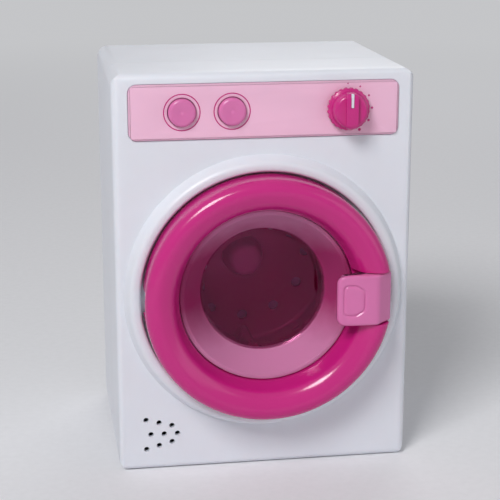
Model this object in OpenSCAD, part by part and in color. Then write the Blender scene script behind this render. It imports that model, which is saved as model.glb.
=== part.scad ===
// Toy front-loading washing machine: two casing shells, a porthole door with a sprung
// handle, a perforated drum turned by a small geared motor, a control panel with a dial
// and two push buttons, a speaker, and a battery box behind a cover at the back.
//
// X is the width, Y runs from the front (negative) to the back, Z is up. Most pieces are
// drawn in the front view and placed by their depth behind the front face of the casing.

/* [Casing] */
// Width of the casing
body_w = 110; // [109:0.5:124]
// Height of the casing
body_h = 150; // [149:0.5:170]
// Depth of the casing, from its front face to its back
body_d = 86; // [85.5:0.5:110]
// Wall of both casing shells
wall = 2; // [1.6:0.1:2.2]
// Depth of the front shell, up to the parting line
front_d = 30; // [28:0.5:33]
// Radius of the four corners in the front view
corner_r = 5; // [4:0.5:7]
// Radius of the edges round the front and the back
edge_r = 3; // [2.4:0.2:4]
// Gap at the parting line between the two shells
parting_gap = 0.3; // [0.2:0.05:0.5]

/* [Door] */
// Height of the door's centre above the base
door_z = 68; // [66:0.5:69]
// Radius of the window opening in the door ring
window_r = 32.5; // [31.75:0.25:33]
// Radial width of the door ring
ring_w = 12.9; // [12.7:0.1:13.3]
// Height of the door ring's crest above the front face
ring_h = 16; // [15.6:0.1:17]
// Skin of the hollow door ring
ring_skin = 2; // [1.7:0.1:2.2]
// Gap between the door ring and the bezel round it
door_gap = 0.8; // [0.7:0.05:1.2]
// Clearance between the back of the closed door and the casing
door_clear = 1.2; // [1.1:0.1:1.5]
// Radial width of the raised bezel
bezel_w = 6; // [5.5:0.25:6.5]
// Height of the raised bezel
bezel_h = 5; // [4:0.25:5.5]
// Depth of the window bowl, from its rim to its floor
bowl_depth = 10.6; // [9:0.1:11]
// Wall of the window bowl
bowl_wall = 1.6; // [1.3:0.1:1.8]
// Diameter of the hinge pin and of the handle pin
pin_dia = 2; // [1.6:0.1:2.2]

/* [Handle] */
// Height of the handle tab
handle_h = 19; // [17:0.5:20]
// How far the handle tab reaches in over the window
handle_reach = 9; // [7.5:0.5:9.5]
// How far the handle stands above the ring's crest
handle_proud = 1.2; // [0.8:0.1:1.6]

/* [Drum] */
// Outer radius of the drum
drum_r = 38; // [36:0.5:38.5]
// Wall of the drum
drum_wall = 1.5; // [1.2:0.1:1.8]
// Room between the gearbox and the back of the casing
gearbox_room = 3.6; // [3.2:0.1:5]
// Diameter of the holes in the drum
drum_hole = 4; // [3:0.25:4.5]
// Number of lifters inside the drum
lifters = 3; // [2:1:4]
// Height of each lifter
lifter_h = 6; // [4:0.5:7]
// Running gap between the drum and the fixed tub
tub_gap = 2.5; // [2:0.25:3]
// Wall of the fixed tub
tub_wall = 2; // [1.6:0.1:2.2]
// Diameter of the drum shaft
shaft_dia = 4; // [3.6:0.1:4.6]

/* [Gear train] */
// Module of every gear
gear_module = 1; // [0.96:0.01:1.02]
// Teeth on the drum gear
drum_teeth = 40; // [38:1:42]
// Teeth on the large wheel of each idler
wheel_teeth = 32; // [30:1:33]
// Teeth on each pinion
pinion_teeth = 12; // [12:1:13]
// Face width of every gear
gear_face = 4; // [3.6:0.1:4.1]
// Thickness of each gearbox plate
plate_t = 2; // [1.6:0.1:2.1]

/* [Controls] */
// Height of the control panel insert
fascia_h = 20; // [19:0.5:22]
// Thickness of the control panel insert
fascia_t = 1.6; // [1.4:0.1:1.8]
// Diameter of the programme dial
dial_dia = 15.5; // [15:0.5:18.5]
// Height of the programme dial above the insert
dial_h = 8.5; // [7:0.5:12]
// Diameter of each push button
button_dia = 10; // [8:0.5:11]
// Height of each push button above the insert
button_h = 2.2; // [1.8:0.1:3]
// Travel of each push button
button_travel = 1.2; // [0.8:0.1:1.3]

/* [Speaker and batteries] */
// Diameter of each hole in the speaker grille
grille_hole = 2; // [1.5:0.1:2.4]
// Spacing of the grille holes along each row
grille_step = 5; // [4.6:0.1:5.2]
// Diameter of the speaker
speaker_dia = 20; // [18:0.5:20.5]
// Diameter of one battery cell
cell_dia = 14.5; // [14:0.1:14.6]
// Length of one battery cell, with its nub
cell_len = 50.5; // [49.5:0.1:50.8]

/* [Hidden] */

round_fn = 96;      // facets shown on large round shapes
small_fn = 48;      // facets shown on small round shapes
arc_steps = 6;      // segments in each rounded corner of a drawn outline
fit = 0.02;         // radial clearance of a part that is pressed or glued in place
run = 0.05;         // radial clearance of a running fit
seat = 0.1;         // clearance between stacked parts
far = 200;          // longer than the whole object, for cuts that go right through
bite = 0.5;         // how far a rib or boss is sunk into the wall that carries it

door_r = window_r + ring_w;
bezel_in = door_r + door_gap;
bezel_r = bezel_in + bezel_w;
front_reach = ring_h + handle_proud;
face_y = (front_reach - body_d) / 2;   // the origin lies under the middle of the object
inner_w = body_w - 2 * wall;
back_in = body_d - wall;                // inner face of the back wall

// Depths are measured from the front face, positive towards the back.
ring_back = -door_clear;
ring_front = -ring_h;

ring_round = 4;                         // rounding of the door ring's outer edge
crest_r = door_r - ring_round - 1.2;    // radius of the door ring's crest
slope_end = ring_front + 9;             // depth at which the inner slope meets the window
dome_r = window_r + ring_w / 5;         // where the domed slope turns down to the window
dome_d = ring_front + 2;
flange_t = bowl_wall;
flange_r = window_r + 1.5;              // outer radius of the window's flange
retainer_t = 1.8;
retainer_d = ring_back - retainer_t;    // front face of the door's back plate
flange_d = retainer_d - seat - flange_t;
rib_t = 1.6;

throat_in = flange_r + 0.4;             // inner radius of the throat behind the door
throat_out = throat_in + wall;
drum_d = 15;                            // depth of the drum's mouth
throat_end = drum_d - 1.5;
tub_in = drum_r + tub_gap;
tub_r = tub_in + tub_wall;
tub_floor_t = 3;
tub_d = throat_end - 0.5;
lug_ring = tub_r + 3.2;
lug_t = 3;
lug_d = tub_d + 2;

// The gearbox lies at the back, and the drum is as long as the depth in front of it allows.
layer_gap = 0.6;
gearbox_t = 2 * plate_t + 3 * gear_face + 4 * layer_gap;
plate_d = back_in - gearbox_room - gearbox_t;      // front face of the gearbox base
tub_back = plate_d;                     // depth of the tub's outer back face
drum_end = tub_back - tub_floor_t - 2;
drum_len = drum_end - drum_d;
layer = [for (i = [0:2]) plate_d + plate_t + layer_gap + i * (gear_face + layer_gap)];
cover_d = layer[2] + gear_face + layer_gap;

drum_pitch = gear_module * drum_teeth / 2;
wheel_pitch = gear_module * wheel_teeth / 2;
pinion_pitch = gear_module * pinion_teeth / 2;
mesh_gap = 0.06;                        // added to each centre distance
drum_axis = [0, door_z];
angle_1 = 75;                           // direction from the drum to the first idler
angle_2 = 35;                           // from the first idler to the second
angle_3 = 60;                           // from the second idler to the motor
idler_1 = drum_axis + (drum_pitch + pinion_pitch + mesh_gap) * [cos(angle_1), sin(angle_1)];
idler_2 = idler_1 + (wheel_pitch + pinion_pitch + mesh_gap) * [cos(angle_2), sin(angle_2)];
motor_axis = idler_2 + (wheel_pitch + pinion_pitch + mesh_gap) * [cos(angle_3), sin(angle_3)];
gear_pin_r = 1.25;
hub_r = 3;
post_r = 3.2;
gearbox_screw_r = 1.1;
post_gap = 4.6;                         // from a gear's pitch circle to a post's centre
posts = [
    drum_axis + (drum_pitch + post_gap + 1) * [cos(200), sin(200)],
    drum_axis + (drum_pitch + post_gap + 1) * [cos(320), sin(320)],
    idler_1 + (wheel_pitch + post_gap) * [cos(150), sin(150)],
    idler_2 + (wheel_pitch + post_gap) * [cos(-20), sin(-20)]
];

motor_len = 25;
motor_r = 10;
motor_flat = 15;
motor_cap_t = 4;
motor_shaft_r = 1;
motor_nose_r = 3;
clip_t = 1.6;                           // thickness of the arms that hold the motor
motor_d = plate_d - motor_len;

hinge_x = -(door_r - 3);                // the hinge pin runs up and down inside the ring
hinge_d = -9;
hinge_lug_h = 9.4;
hinge_cheek = 4.4;
hinge_lug_r = pin_dia / 2 + 1.6;
hinge_web = 3.4;

handle_x = door_r - 7.9;                // the handle pin, also inside the ring
handle_d = -9.5;
handle_tip = window_r - handle_reach;
handle_side = 0.3;                      // gap above and below the handle in the ring
handle_cheek = 2.6;
hook_x = handle_x + 2;
hook_t = 2.5;
hook_nose = 2.2;
hook_w = 6;
catch_t = 0.5;
catch_d = wall + seat;
nose_d = catch_d + catch_t + 0.15;
nose_t = 1.6;
catch_edge = hook_x + hook_t + 0.8;
slot_left = throat_out + 0.35;
slot_right = bezel_in - 1;

case_screw_r = 1.3;
case_head_r = 2.9;
case_well_r = 3.5;
case_screw_x = body_w / 2 - 8;
case_screw_low = 32;
case_screw_high = body_h - 9;
case_well_d = front_d + 12;             // depth of the shoulder under each case screw
case_boss_r = 4;
case_tube_r = 5;
case_boss_side = -case_screw_x + case_boss_r + 2;  // where the speaker leads pass the lower boss

panel_z = (door_z + bezel_r + body_h) / 2 + 0.8;   // middle height of the controls
fascia_w = body_w - 12;
fascia_sink = 0.8;                      // how deep the insert lies in the casing
fascia_front = fascia_sink - fascia_t;
dial_x = body_w / 2 - 25;
button_x = [-body_w / 2 + 25, -body_w / 2 + 43];
board_d = 9;
board_t = 1.6;
board_back = board_d + board_t;
board_w = body_w - 26;
board_h = 17;
board_hole_x = board_w / 2 - 3.5;
board_hole_z = board_h / 2 - 3;
dial_stem_r = 2.9;
switch_w = 11;
switch_d = 4;
key_t = 0.8;
key_r = 4;
key_top = board_d - key_t - button_travel - 1.4;
button_flange = 1.4;

grille_x = -body_w / 2 + 14.5;
grille_z = 14.2;
grille_fan = 15;                        // angle between neighbouring rows of holes
grille_apex = 17.5;                     // distance from the rows' meeting point to their middle
speaker_t = 1.4;
speaker_back = wall + 7;                // depth of the back of the speaker's magnet

cell_r = cell_dia / 2 - 0.15;
cell_pitch = cell_dia + 0.7;
box_w = cell_len + 6;
box_h = 2 * cell_pitch;
box_wall = 1.6;
box_z = 8.5 + box_h / 2;
ledge_t = 2;
cover_t = 1.8;
cover_in = body_d - cover_t;            // inner face of the battery cover
cell_d = cover_in - 0.6 - cell_dia / 2;
box_floor = cell_d - cell_dia / 2 - 0.5;
lead_hole = [box_w / 2 - 4, box_z + box_h / 2 - 5];   // outlet of the battery leads
lead_hole_r = 1.6;
cover_w = box_w + 21;
cover_h = box_h + 5.5;
cover_gap = 0.25;
cover_screw_x = cover_w / 2 - 5.6;
cover_screw_r = 1.1;
cover_boss_r = 3.2;
cover_screw_len = 10;

// ---------------------------------------------------------------- helpers

// A flat outline drawn in the front view, filling the depths from d0 to d1.
module slab(d0, d1) {
    translate([0, face_y + d1, 0])
        rotate([90, 0, 0])
            linear_extrude(d1 - d0) children();
}

// A profile of [radius, depth] turned about an axis that runs from front to back.
module turned(at, sides = round_fn) {
    translate([at.x, face_y, at.y])
        rotate([-90, 0, 0])
            rotate_extrude($fn = sides) children();
}

// A round bar from front to back.
module rod(at, d0, d1, r, sides = small_fn) {
    translate([at.x, face_y + d0, at.y])
        rotate([-90, 0, 0]) cylinder(h = d1 - d0, r = r, $fn = sides);
}

// A round bar that stands upright at [x, depth], centred on height z.
module upright(x, d, z, length, r) {
    translate([x, face_y + d, z - length / 2]) cylinder(h = length, r = r, $fn = small_fn);
}

// A block between two corners given as [x, depth, z].
module block(low, high) {
    translate([low.x, face_y + low.y, low.z]) cube(high - low);
}

// A plan outline of [x, depth], standing from height z0 to z1.
module standing(z0, z1) {
    translate([0, face_y, z0]) linear_extrude(z1 - z0) children();
}

module rounded_rect(w, h, r) {
    square([w - 2 * r, h], center = true);
    square([w, h - 2 * r], center = true);
    for (x = [-1, 1], y = [-1, 1])
        translate([x * (w / 2 - r), y * (h / 2 - r)]) circle(r, $fn = small_fn);
}

// Points of a closed outline whose corners, given as [x, y, radius], are rounded off.
function unit(v) = v / norm(v);
function corner_arc(before, at, after, r) =
    let (
        a = unit(before - at),
        b = unit(after - at),
        half = acos(a * b) / 2,
        centre = at + unit(a + b) * r / sin(half),
        first = at + a * r / tan(half) - centre,
        last = at + b * r / tan(half) - centre,
        start = atan2(first.y, first.x),
        turn = atan2(first.x * last.y - first.y * last.x, first * last)
    )
    [for (i = [0:arc_steps])
        let (angle = start + turn * i / arc_steps)
        centre + r * [cos(angle), sin(angle)]];
function rounded(corners) =
    let (n = len(corners), flat = [for (c = corners) [c.x, c.y]])
    [for (i = [0:n - 1])
        let (before = flat[(i + n - 1) % n], at = flat[i], after = flat[(i + 1) % n])
        each corners[i].z > 0 ? corner_arc(before, at, after, corners[i].z) : [at]];

// A round tube swept along points in space, from triangles. Its rings, and the second wire
// of a pair, are turned by one fixed direction that no route follows.
lay = [0.31, 0.52, 0.8];
function tube_ring(here, along, r, sides) =
    let (side = unit(cross(along, lay)), up = cross(side, along))
    [for (k = [0:sides - 1]) here + r * (side * cos(360 * k / sides) + up * sin(360 * k / sides))];
module tube(path, r, sides = 8) {
    n = len(path);
    ring = [for (i = [0:n - 1])
        each tube_ring(path[i], unit(path[min(i + 1, n - 1)] - path[max(i - 1, 0)]), r, sides)];
    skin = [for (i = [0:n - 2], k = [0:sides - 1])
        let (a = i * sides + k, b = i * sides + (k + 1) % sides)
        each [[a, b, a + sides], [b, b + sides, a + sides]]];
    ends = [for (k = [1:sides - 2])
        each [[0, k + 1, k], [(n - 1) * sides, (n - 1) * sides + k, (n - 1) * sides + k + 1]]];
    polyhedron(points = ring, faces = concat(skin, ends), convexity = 6);
}

// The same route moved sideways by a gap, for the second wire of a pair.
function beside(path, gap) =
    let (n = len(path))
    [for (i = [0:n - 1])
        path[i] + gap * unit(cross(path[min(i + 1, n - 1)] - path[max(i - 1, 0)], lay))];

// A smooth route through chosen points, with the given number of steps to each stretch.
function smooth(p, steps) =
    let (n = len(p))
    [for (i = [0:n - 2], k = [0:steps - 1])
        let (a = p[max(i - 1, 0)], b = p[i], c = p[i + 1], d = p[min(i + 2, n - 1)], t = k / steps)
        (2 * b + (c - a) * t + (2 * a - 5 * b + 4 * c - d) * t * t + (3 * b - a - 3 * c + d) * t * t * t) / 2,
     p[n - 1]];

// A coil of wire along Z with its ends squared off.
function coil(r, height, turns, steps = 12) =
    [for (i = [0:turns * steps])
        [r * cos(360 * i / steps), r * sin(360 * i / steps), height * i / (turns * steps)]];

// ---------------------------------------------------------------- gears

pressure = 25;
backlash = 0.14;
addendum = 0.8;
dedendum = 1.1;
flank_steps = 3;
function involute_angle(a) = tan(a) * 180 / PI - a;
function tooth_half_angle(teeth, r) =
    let (base = gear_module * teeth / 2 * cos(pressure))
    (PI * gear_module / 2 - backlash) / (gear_module * teeth) * 180 / PI
        + involute_angle(pressure) - involute_angle(acos(min(1, base / r)));
function polar(r, a) = r * [cos(a), sin(a)];

module gear_outline(teeth, turn) {
    pitch = gear_module * teeth / 2;
    root = pitch - dedendum * gear_module;
    tip = pitch + addendum * gear_module;
    low = max(root, pitch * cos(pressure)) + 0.01;
    flank = [for (i = [0:flank_steps]) low + (tip - low) * i / flank_steps];
    polygon([for (i = [0:teeth - 1])
        let (at = turn + 360 * i / teeth)
        each concat(
            [polar(root, at - tooth_half_angle(teeth, low))],
            [for (r = flank) polar(r, at - tooth_half_angle(teeth, r))],
            [for (k = [flank_steps:-1:0]) polar(flank[k], at + tooth_half_angle(teeth, flank[k]))],
            [polar(root, at + tooth_half_angle(teeth, low))]
        )]);
}

// One gear in layer n, with a tooth pointing at the given angle in the front view.
module gear(at, n, teeth, tooth_at) {
    slab(layer[n], layer[n] + gear_face)
        translate(at) gear_outline(teeth, tooth_at);
}

// ---------------------------------------------------------------- casing

module casing_block(inset) {
    intersection() {
        slab(inset, body_d - inset)
            translate([0, body_h / 2])
                rounded_rect(body_w - 2 * inset, body_h - 2 * inset, corner_r - inset);
        translate([-body_w / 2, face_y + body_d / 2, body_h / 2])
            rotate([90, 0, 90]) linear_extrude(body_w)
                rounded_rect(body_d - 2 * inset, body_h - 2 * inset, edge_r - inset);
        translate([0, face_y + body_d / 2, 0])
            linear_extrude(body_h)
                rounded_rect(body_w - 2 * inset, body_d - 2 * inset, edge_r - inset);
    }
}

module case_screw_places() {
    for (x = [-1, 1], z = [case_screw_low, case_screw_high])
        translate([x * case_screw_x, 0, z]) children();
}

module tub_screw_places() {
    for (a = [45:90:315])
        translate([lug_ring * cos(a), 0, door_z + lug_ring * sin(a)]) children();
}

module board_screw_places() {
    for (x = [-1, 1], z = [-1, 1])
        translate([x * board_hole_x, 0, panel_z + z * board_hole_z]) children();
}

// Three rows of three holes that fan out from a point on the right.
module grille_places() {
    for (row = [-1:1], step = [-1:1]) {
        reach = grille_apex - step * grille_step - (row == 0 ? grille_step / 2 : 0);
        translate([grille_x + grille_apex - reach * cos(row * grille_fan), 0,
                   grille_z + reach * sin(row * grille_fan)]) children();
    }
}

module bezel_profile() {
    polygon(rounded([
        [bezel_in, bite, 0],
        [bezel_in, -bezel_h, 1.2],
        [bezel_r - 2.4, -bezel_h, 2.6],
        [bezel_r, bite, 0]
    ]));
}

module hinge_lug() {
    upright(hinge_x, hinge_d, door_z, hinge_lug_h, hinge_lug_r);
    block([hinge_x - hinge_web / 2, hinge_d, door_z - hinge_lug_h / 2],
          [hinge_x + hinge_web / 2, bite, door_z + hinge_lug_h / 2]);
}

module front_shell_solid() {
    difference() {
        casing_block(0);
        casing_block(wall);
        block([-far, front_d, -far], [far, far, far]);
    }
    // tongue that locates the rear shell
    intersection() {
        difference() {
            casing_block(wall / 2 + 0.1);
            casing_block(wall);
        }
        block([-far, front_d - bite, -far], [far, front_d + 2, far]);
    }
    turned(drum_axis) bezel_profile();
    turned(drum_axis)
        polygon([[throat_in, 0.2], [throat_in, throat_end], [throat_out - 0.5, throat_end],
                 [throat_out, throat_end - 0.8], [throat_out, 0.2]]);
    hinge_lug();
    intersection() {
        union() {
            case_screw_places() rod([0, 0], wall - bite, front_d, case_boss_r);
            tub_screw_places() rod([0, 0], wall - bite, lug_d - seat, 3.2);
            board_screw_places() rod([0, 0], wall - bite, board_d - seat, 2.5);
            difference() {
                rod([grille_x, grille_z], wall - bite, wall + 4, speaker_dia / 2 + 1.3, round_fn);
                rod([grille_x, grille_z], wall - bite - 1, wall + 5, speaker_dia / 2 + 0.2, round_fn);
            }
        }
        casing_block(wall / 2);
    }
}

module front_shell() {
    color("#eeeff4")
    difference() {
        front_shell_solid();
        rod(drum_axis, -1, throat_end - 1, throat_in, round_fn);
        // slot for the handle's hook, and the catch screw's pilot hole
        block([slot_left, -1, door_z - hook_w / 2 - 0.8], [slot_right, wall + 1, door_z + hook_w / 2 + 0.8]);
        rod([catch_screw_x, door_z], catch_pilot, wall + 1, 0.92);
        upright(hinge_x, hinge_d, door_z, hinge_lug_h + 2, pin_dia / 2 + run);
        grille_places() rod([0, 0], -1, wall + 1, grille_hole / 2);
        // recess for the control panel insert, and the openings behind it
        slab(-1, fascia_sink)
            translate([0, panel_z]) rounded_rect(fascia_w + 0.3, fascia_h + 0.3, 3.15);
        rod([dial_x, panel_z], -1, wall + 1, dial_stem_r + 0.5);
        for (x = button_x) rod([x, panel_z], -1, wall + 1, button_dia / 2 + 0.3);
        case_screw_places() rod([0, 0], 8, front_d + 3, case_screw_r - 0.1 + fit);
        tub_screw_places() rod([0, 0], 4, lug_d + 1, 1.1 + fit);
        board_screw_places() rod([0, 0], wall + 0.6, board_d + 1, 0.95 + fit);
    }
}

module battery_box_solid() {
    // walls and floor of the battery box, the ledge under its cover, and the screw bosses
    block([-box_w / 2 - box_wall, box_floor - box_wall, box_z - box_h / 2 - box_wall],
          [box_w / 2 + box_wall, back_in + bite, box_z + box_h / 2 + box_wall]);
    block([-cover_w / 2 - 1.6, cover_in - ledge_t, box_z - cover_h / 2 - 1.6],
          [cover_w / 2 + 1.6, back_in + bite, box_z + cover_h / 2 + 1.6]);
    for (x = [-1, 1])
        rod([x * cover_screw_x, box_z], cover_in - cover_screw_len - 1, back_in + bite, cover_boss_r);
}

module rear_shell_solid() {
    difference() {
        casing_block(0);
        casing_block(wall);
        block([-far, -far, -far], [far, front_d + parting_gap, far]);
        // groove for the front shell's tongue
        intersection() {
            casing_block(wall / 2);
            block([-far, 0, -far], [far, front_d + 2.2, far]);
        }
    }
    intersection() {
        union() {
            case_screw_places() rod([0, 0], front_d + seat, back_in + bite, case_tube_r);
            battery_box_solid();
        }
        casing_block(wall / 2);
    }
}

module rear_shell() {
    color("#eeeff4")
    difference() {
        rear_shell_solid();
        case_screw_places() {
            rod([0, 0], case_well_d, body_d + 1, case_well_r);
            rod([0, 0], front_d - 1, case_well_d + 1, case_screw_r + 0.2);
        }
        // battery space, and the recess that the cover drops into
        block([-box_w / 2, box_floor, box_z - box_h / 2], [box_w / 2, body_d + 1, box_z + box_h / 2]);
        slab(cover_in - seat, body_d + 1)
            translate([0, box_z])
                rounded_rect(cover_w + 2 * cover_gap, cover_h + 2 * cover_gap, 3 + cover_gap);
        for (x = [-1, 1])
            rod([x * cover_screw_x, box_z], cover_in - cover_screw_len, body_d, cover_screw_r + fit);
        // air slots across the upper back
        for (i = [0:5])
            slab(back_in - 1, body_d + 1)
                translate([0, body_h - 40 + i * 5]) rounded_rect(46, 1.8, 0.8);
        // outlet for the battery leads
        rod(lead_hole, box_floor - box_wall - 1, box_floor + 1, lead_hole_r);
    }
}

// A pan-head screw whose head lies at depth d and whose shank runs towards the front.
module screw_back(d, r, head_r, head_t, length) {
    difference() {
        union() {
            turned([0, 0], small_fn)
                polygon(rounded([[0, d, 0], [head_r, d, 0],
                                 [head_r, d + head_t, head_t * 0.6], [0, d + head_t, 0]]));
            rod([0, 0], d - length, d + 0.01, r);
        }
        for (a = [0, 90])
            slab(d + head_t - 0.8, d + head_t + 1)
                rotate(a) square([head_r * 1.25, head_r * 0.3], center = true);
    }
}

module case_screws() {
    color("#b9bbc0")
    case_screw_places() screw_back(case_well_d + seat, case_screw_r - 0.1, case_head_r, 1.8, 22);
}

// ---------------------------------------------------------------- controls

module control_fascia() {
    color("#f3c3dc")
    difference() {
        intersection() {
            slab(fascia_front, fascia_sink - seat)
                translate([0, panel_z]) rounded_rect(fascia_w, fascia_h, 3);
            // softly rounded front edge, drawn in plan and from the side
            standing(panel_z - far, panel_z + far)
                polygon(rounded([[-fascia_w / 2, fascia_sink, 0], [-fascia_w / 2, fascia_front, 0.7],
                                 [fascia_w / 2, fascia_front, 0.7], [fascia_w / 2, fascia_sink, 0]]));
            translate([-far / 2, face_y, panel_z]) rotate([90, 0, 90]) linear_extrude(far)
                polygon(rounded([[fascia_sink, -fascia_h / 2, 0], [fascia_front, -fascia_h / 2, 0.7],
                                 [fascia_front, fascia_h / 2, 0.7], [fascia_sink, fascia_h / 2, 0]]));
        }
        rod([dial_x, panel_z], -far, far, dial_stem_r + 0.5);
        for (x = button_x) rod([x, panel_z], -far, far, button_dia / 2 + 0.25);
    }
}

module circuit_board() {
    color("#2f7d4f")
    difference() {
        slab(board_d, board_back)
            translate([0, panel_z]) square([board_w, board_h], center = true);
        board_screw_places() rod([0, 0], board_d - 1, board_back + 1, 1.2);
    }
}

module board_components() {
    color("#2b2b30") {
        // sound chip under its blob of resin, a capacitor and two transistors
        turned([4, panel_z], small_fn)
            polygon(rounded([[0, board_back, 0], [5, board_back, 0],
                             [4, board_back + 1.8, 1], [0, board_back + 2, 0]]));
        rod([18, panel_z - 2], board_back, board_back + 8, 2.5);
        for (x = [-12, -20])
            block([x - 2.2, board_back, panel_z - 1.6], [x + 2.2, board_back + 4, panel_z + 1.6]);
    }
}

module board_screws() {
    color("#b9bbc0")
    board_screw_places() screw_back(board_back + seat / 2, 0.95, 1.9, 1.2, 7);
}

module rotary_switch() {
    color("#3a3a40")
    difference() {
        slab(switch_d, board_d)
            translate([dial_x, panel_z]) square(switch_w, center = true);
        rod([dial_x, panel_z], switch_d - 1, board_d - 0.8, dial_stem_r + run);
    }
}

module keypad() {
    color("#d8d8dc")
    difference() {
        union() {
            slab(board_d - key_t, board_d)
                translate([(button_x[0] + button_x[1]) / 2, panel_z])
                    square([button_x[1] - button_x[0] + 2 * key_r + 3, board_h - 3], center = true);
            for (x = button_x)
                turned([x, panel_z], small_fn)
                    polygon(rounded([[0, board_d - key_t / 2, 0], [key_r, board_d - key_t / 2, 0],
                                     [key_r - 1.4, key_top, 0.5], [0, key_top, 0]]));
        }
        for (x = button_x) rod([x, panel_z], key_top + 1, board_d + 1, key_r - 1.8);
    }
}

module programme_dial() {
    base = fascia_front - 0.5;
    top = fascia_front - dial_h;
    color("#c22f86") {
        difference() {
            union() {
                turned([dial_x, panel_z])
                    polygon(rounded([[0, base, 0], [dial_dia / 2, base, 0.4], [dial_dia / 2, base - 2, 0.7],
                                     [dial_dia / 2 - 1.2, base - 2.6, 0],
                                     [dial_dia / 2 - 1.9, top + 1.4, 1.2], [0, top + 1.4, 0]]));
                // grip bar across the dial
                intersection() {
                    slab(top, base)
                        translate([dial_x, panel_z]) rounded_rect(4.4, dial_dia - 2.2, 1.6);
                    turned([dial_x, panel_z])
                        polygon(rounded([[0, base, 0], [dial_dia / 2, base, 0],
                                         [dial_dia / 2 - 1.6, top, 2], [0, top, 0]]));
                }
                rod([dial_x, panel_z], base - 0.5, board_d - 1, dial_stem_r);
            }
            // pointer groove in the grip bar
            slab(top - 1, top + 0.6)
                translate([dial_x, panel_z + dial_dia / 4]) square([1.1, dial_dia / 3], center = true);
            // flutes round the rim
            for (a = [0:15:345])
                rod([dial_x + (dial_dia / 2 + 0.35) * cos(a), panel_z + (dial_dia / 2 + 0.35) * sin(a)],
                    base - 2.1, base + 1, 0.8, 24);
        }
    }
}

module push_button(x) {
    top = fascia_front - button_h;
    color("#e070ac")
    turned([x, panel_z])
        polygon(rounded([
            [0, key_top - 0.15, 0], [2.4, key_top - 0.15, 0], [2.4, wall + 0.3 + button_flange, 0],
            [button_dia / 2 + 1.4, wall + 0.3 + button_flange, 0], [button_dia / 2 + 1.4, wall + 0.3, 0],
            [button_dia / 2, wall + 0.3, 0], [button_dia / 2, top, 1.1], [0, top + 0.4, 0]
        ]));
}

module left_button() push_button(button_x[0]);
module right_button() push_button(button_x[1]);

// ---------------------------------------------------------------- speaker

module speaker() {
    rim = speaker_dia / 2;
    at = [grille_x, grille_z];
    color("#8c8f96")
    difference() {
        turned(at)
            polygon([[rim - 1.2, wall + seat], [rim, wall + seat], [rim, wall + seat + speaker_t],
                     [rim - 1.5, wall + seat + speaker_t], [rim * 0.55, wall + 4.2],
                     [rim * 0.55, speaker_back], [0, speaker_back], [0, wall + 4.6],
                     [rim * 0.3, wall + 4.6], [rim * 0.43, wall + 3.2],
                     [rim - 2.2, wall + 1.1], [rim - 1.2, wall + 1]]);
        for (a = [0:90:270])
            rod(at + rim * 0.72 * [cos(a), sin(a)], wall + seat - 1, wall + 4.4, 0.9, 24);
    }
}

module speaker_cone() {
    rim = speaker_dia / 2 - 1.3;
    color("#2a2a2e")
    turned([grille_x, grille_z])
        polygon([[0, wall + 0.9], [rim * 0.26, wall + 1.3], [rim * 0.36, wall + 2], [rim - 1.3, wall + 0.5],
                 [rim, wall + 0.5], [rim, wall + 0.9], [rim - 1.3, wall + 0.9], [rim * 0.38, wall + 2.4],
                 [0, wall + 2.4]]);
}

// ---------------------------------------------------------------- tub and drum

module tub() {
    color("#d9dbe2")
    difference() {
        union() {
            rod(drum_axis, tub_d, tub_back, tub_r, round_fn);
            tub_screw_places() rod([0, 0], lug_d, lug_d + lug_t, 4.4);
        }
        rod(drum_axis, tub_d - 1, tub_back - tub_floor_t, tub_in, round_fn);
        rod(drum_axis, tub_d, tub_back + 1, shaft_dia / 2 + 1.6 + fit);
        tub_screw_places() rod([0, 0], lug_d - 1, lug_d + lug_t + 1, 1.35);
        for (i = [0:2]) rod(posts[i], tub_back - 2.6, tub_back + 1, gearbox_screw_r + fit);
    }
}

module tub_screws() {
    color("#b9bbc0")
    tub_screw_places() screw_back(lug_d + lug_t + seat / 2, 1.1, 2.2, 1.4, 10);
}

module shaft_bush() {
    color("#c9a24a")
    difference() {
        rod(drum_axis, tub_back - tub_floor_t - 0.8, tub_back, shaft_dia / 2 + 1.6);
        rod(drum_axis, 0, far, shaft_dia / 2 + run);
    }
}

module drum_holes() {
    for (row = [0:2], i = [0:17]) {
        a = i * 20 + (row % 2) * 10 + 5;
        // no hole where a lifter stands
        free = min([for (k = [0:lifters - 1]) abs((a - 90 - k * 360 / lifters + 540) % 360 - 180)]);
        if (free > 9)
            translate([0, face_y + drum_d + drum_len * (0.27 + 0.24 * row), door_z])
                rotate([0, a, 0])
                    translate([0, 0, drum_r / 2]) cylinder(h = drum_r, r = drum_hole / 2, $fn = 24);
    }
    for (a = [0:30:330])
        rod(drum_axis + drum_r * 0.68 * [cos(a), sin(a)], drum_end - 5, drum_end + 1, drum_hole / 2, 24);
}

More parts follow.
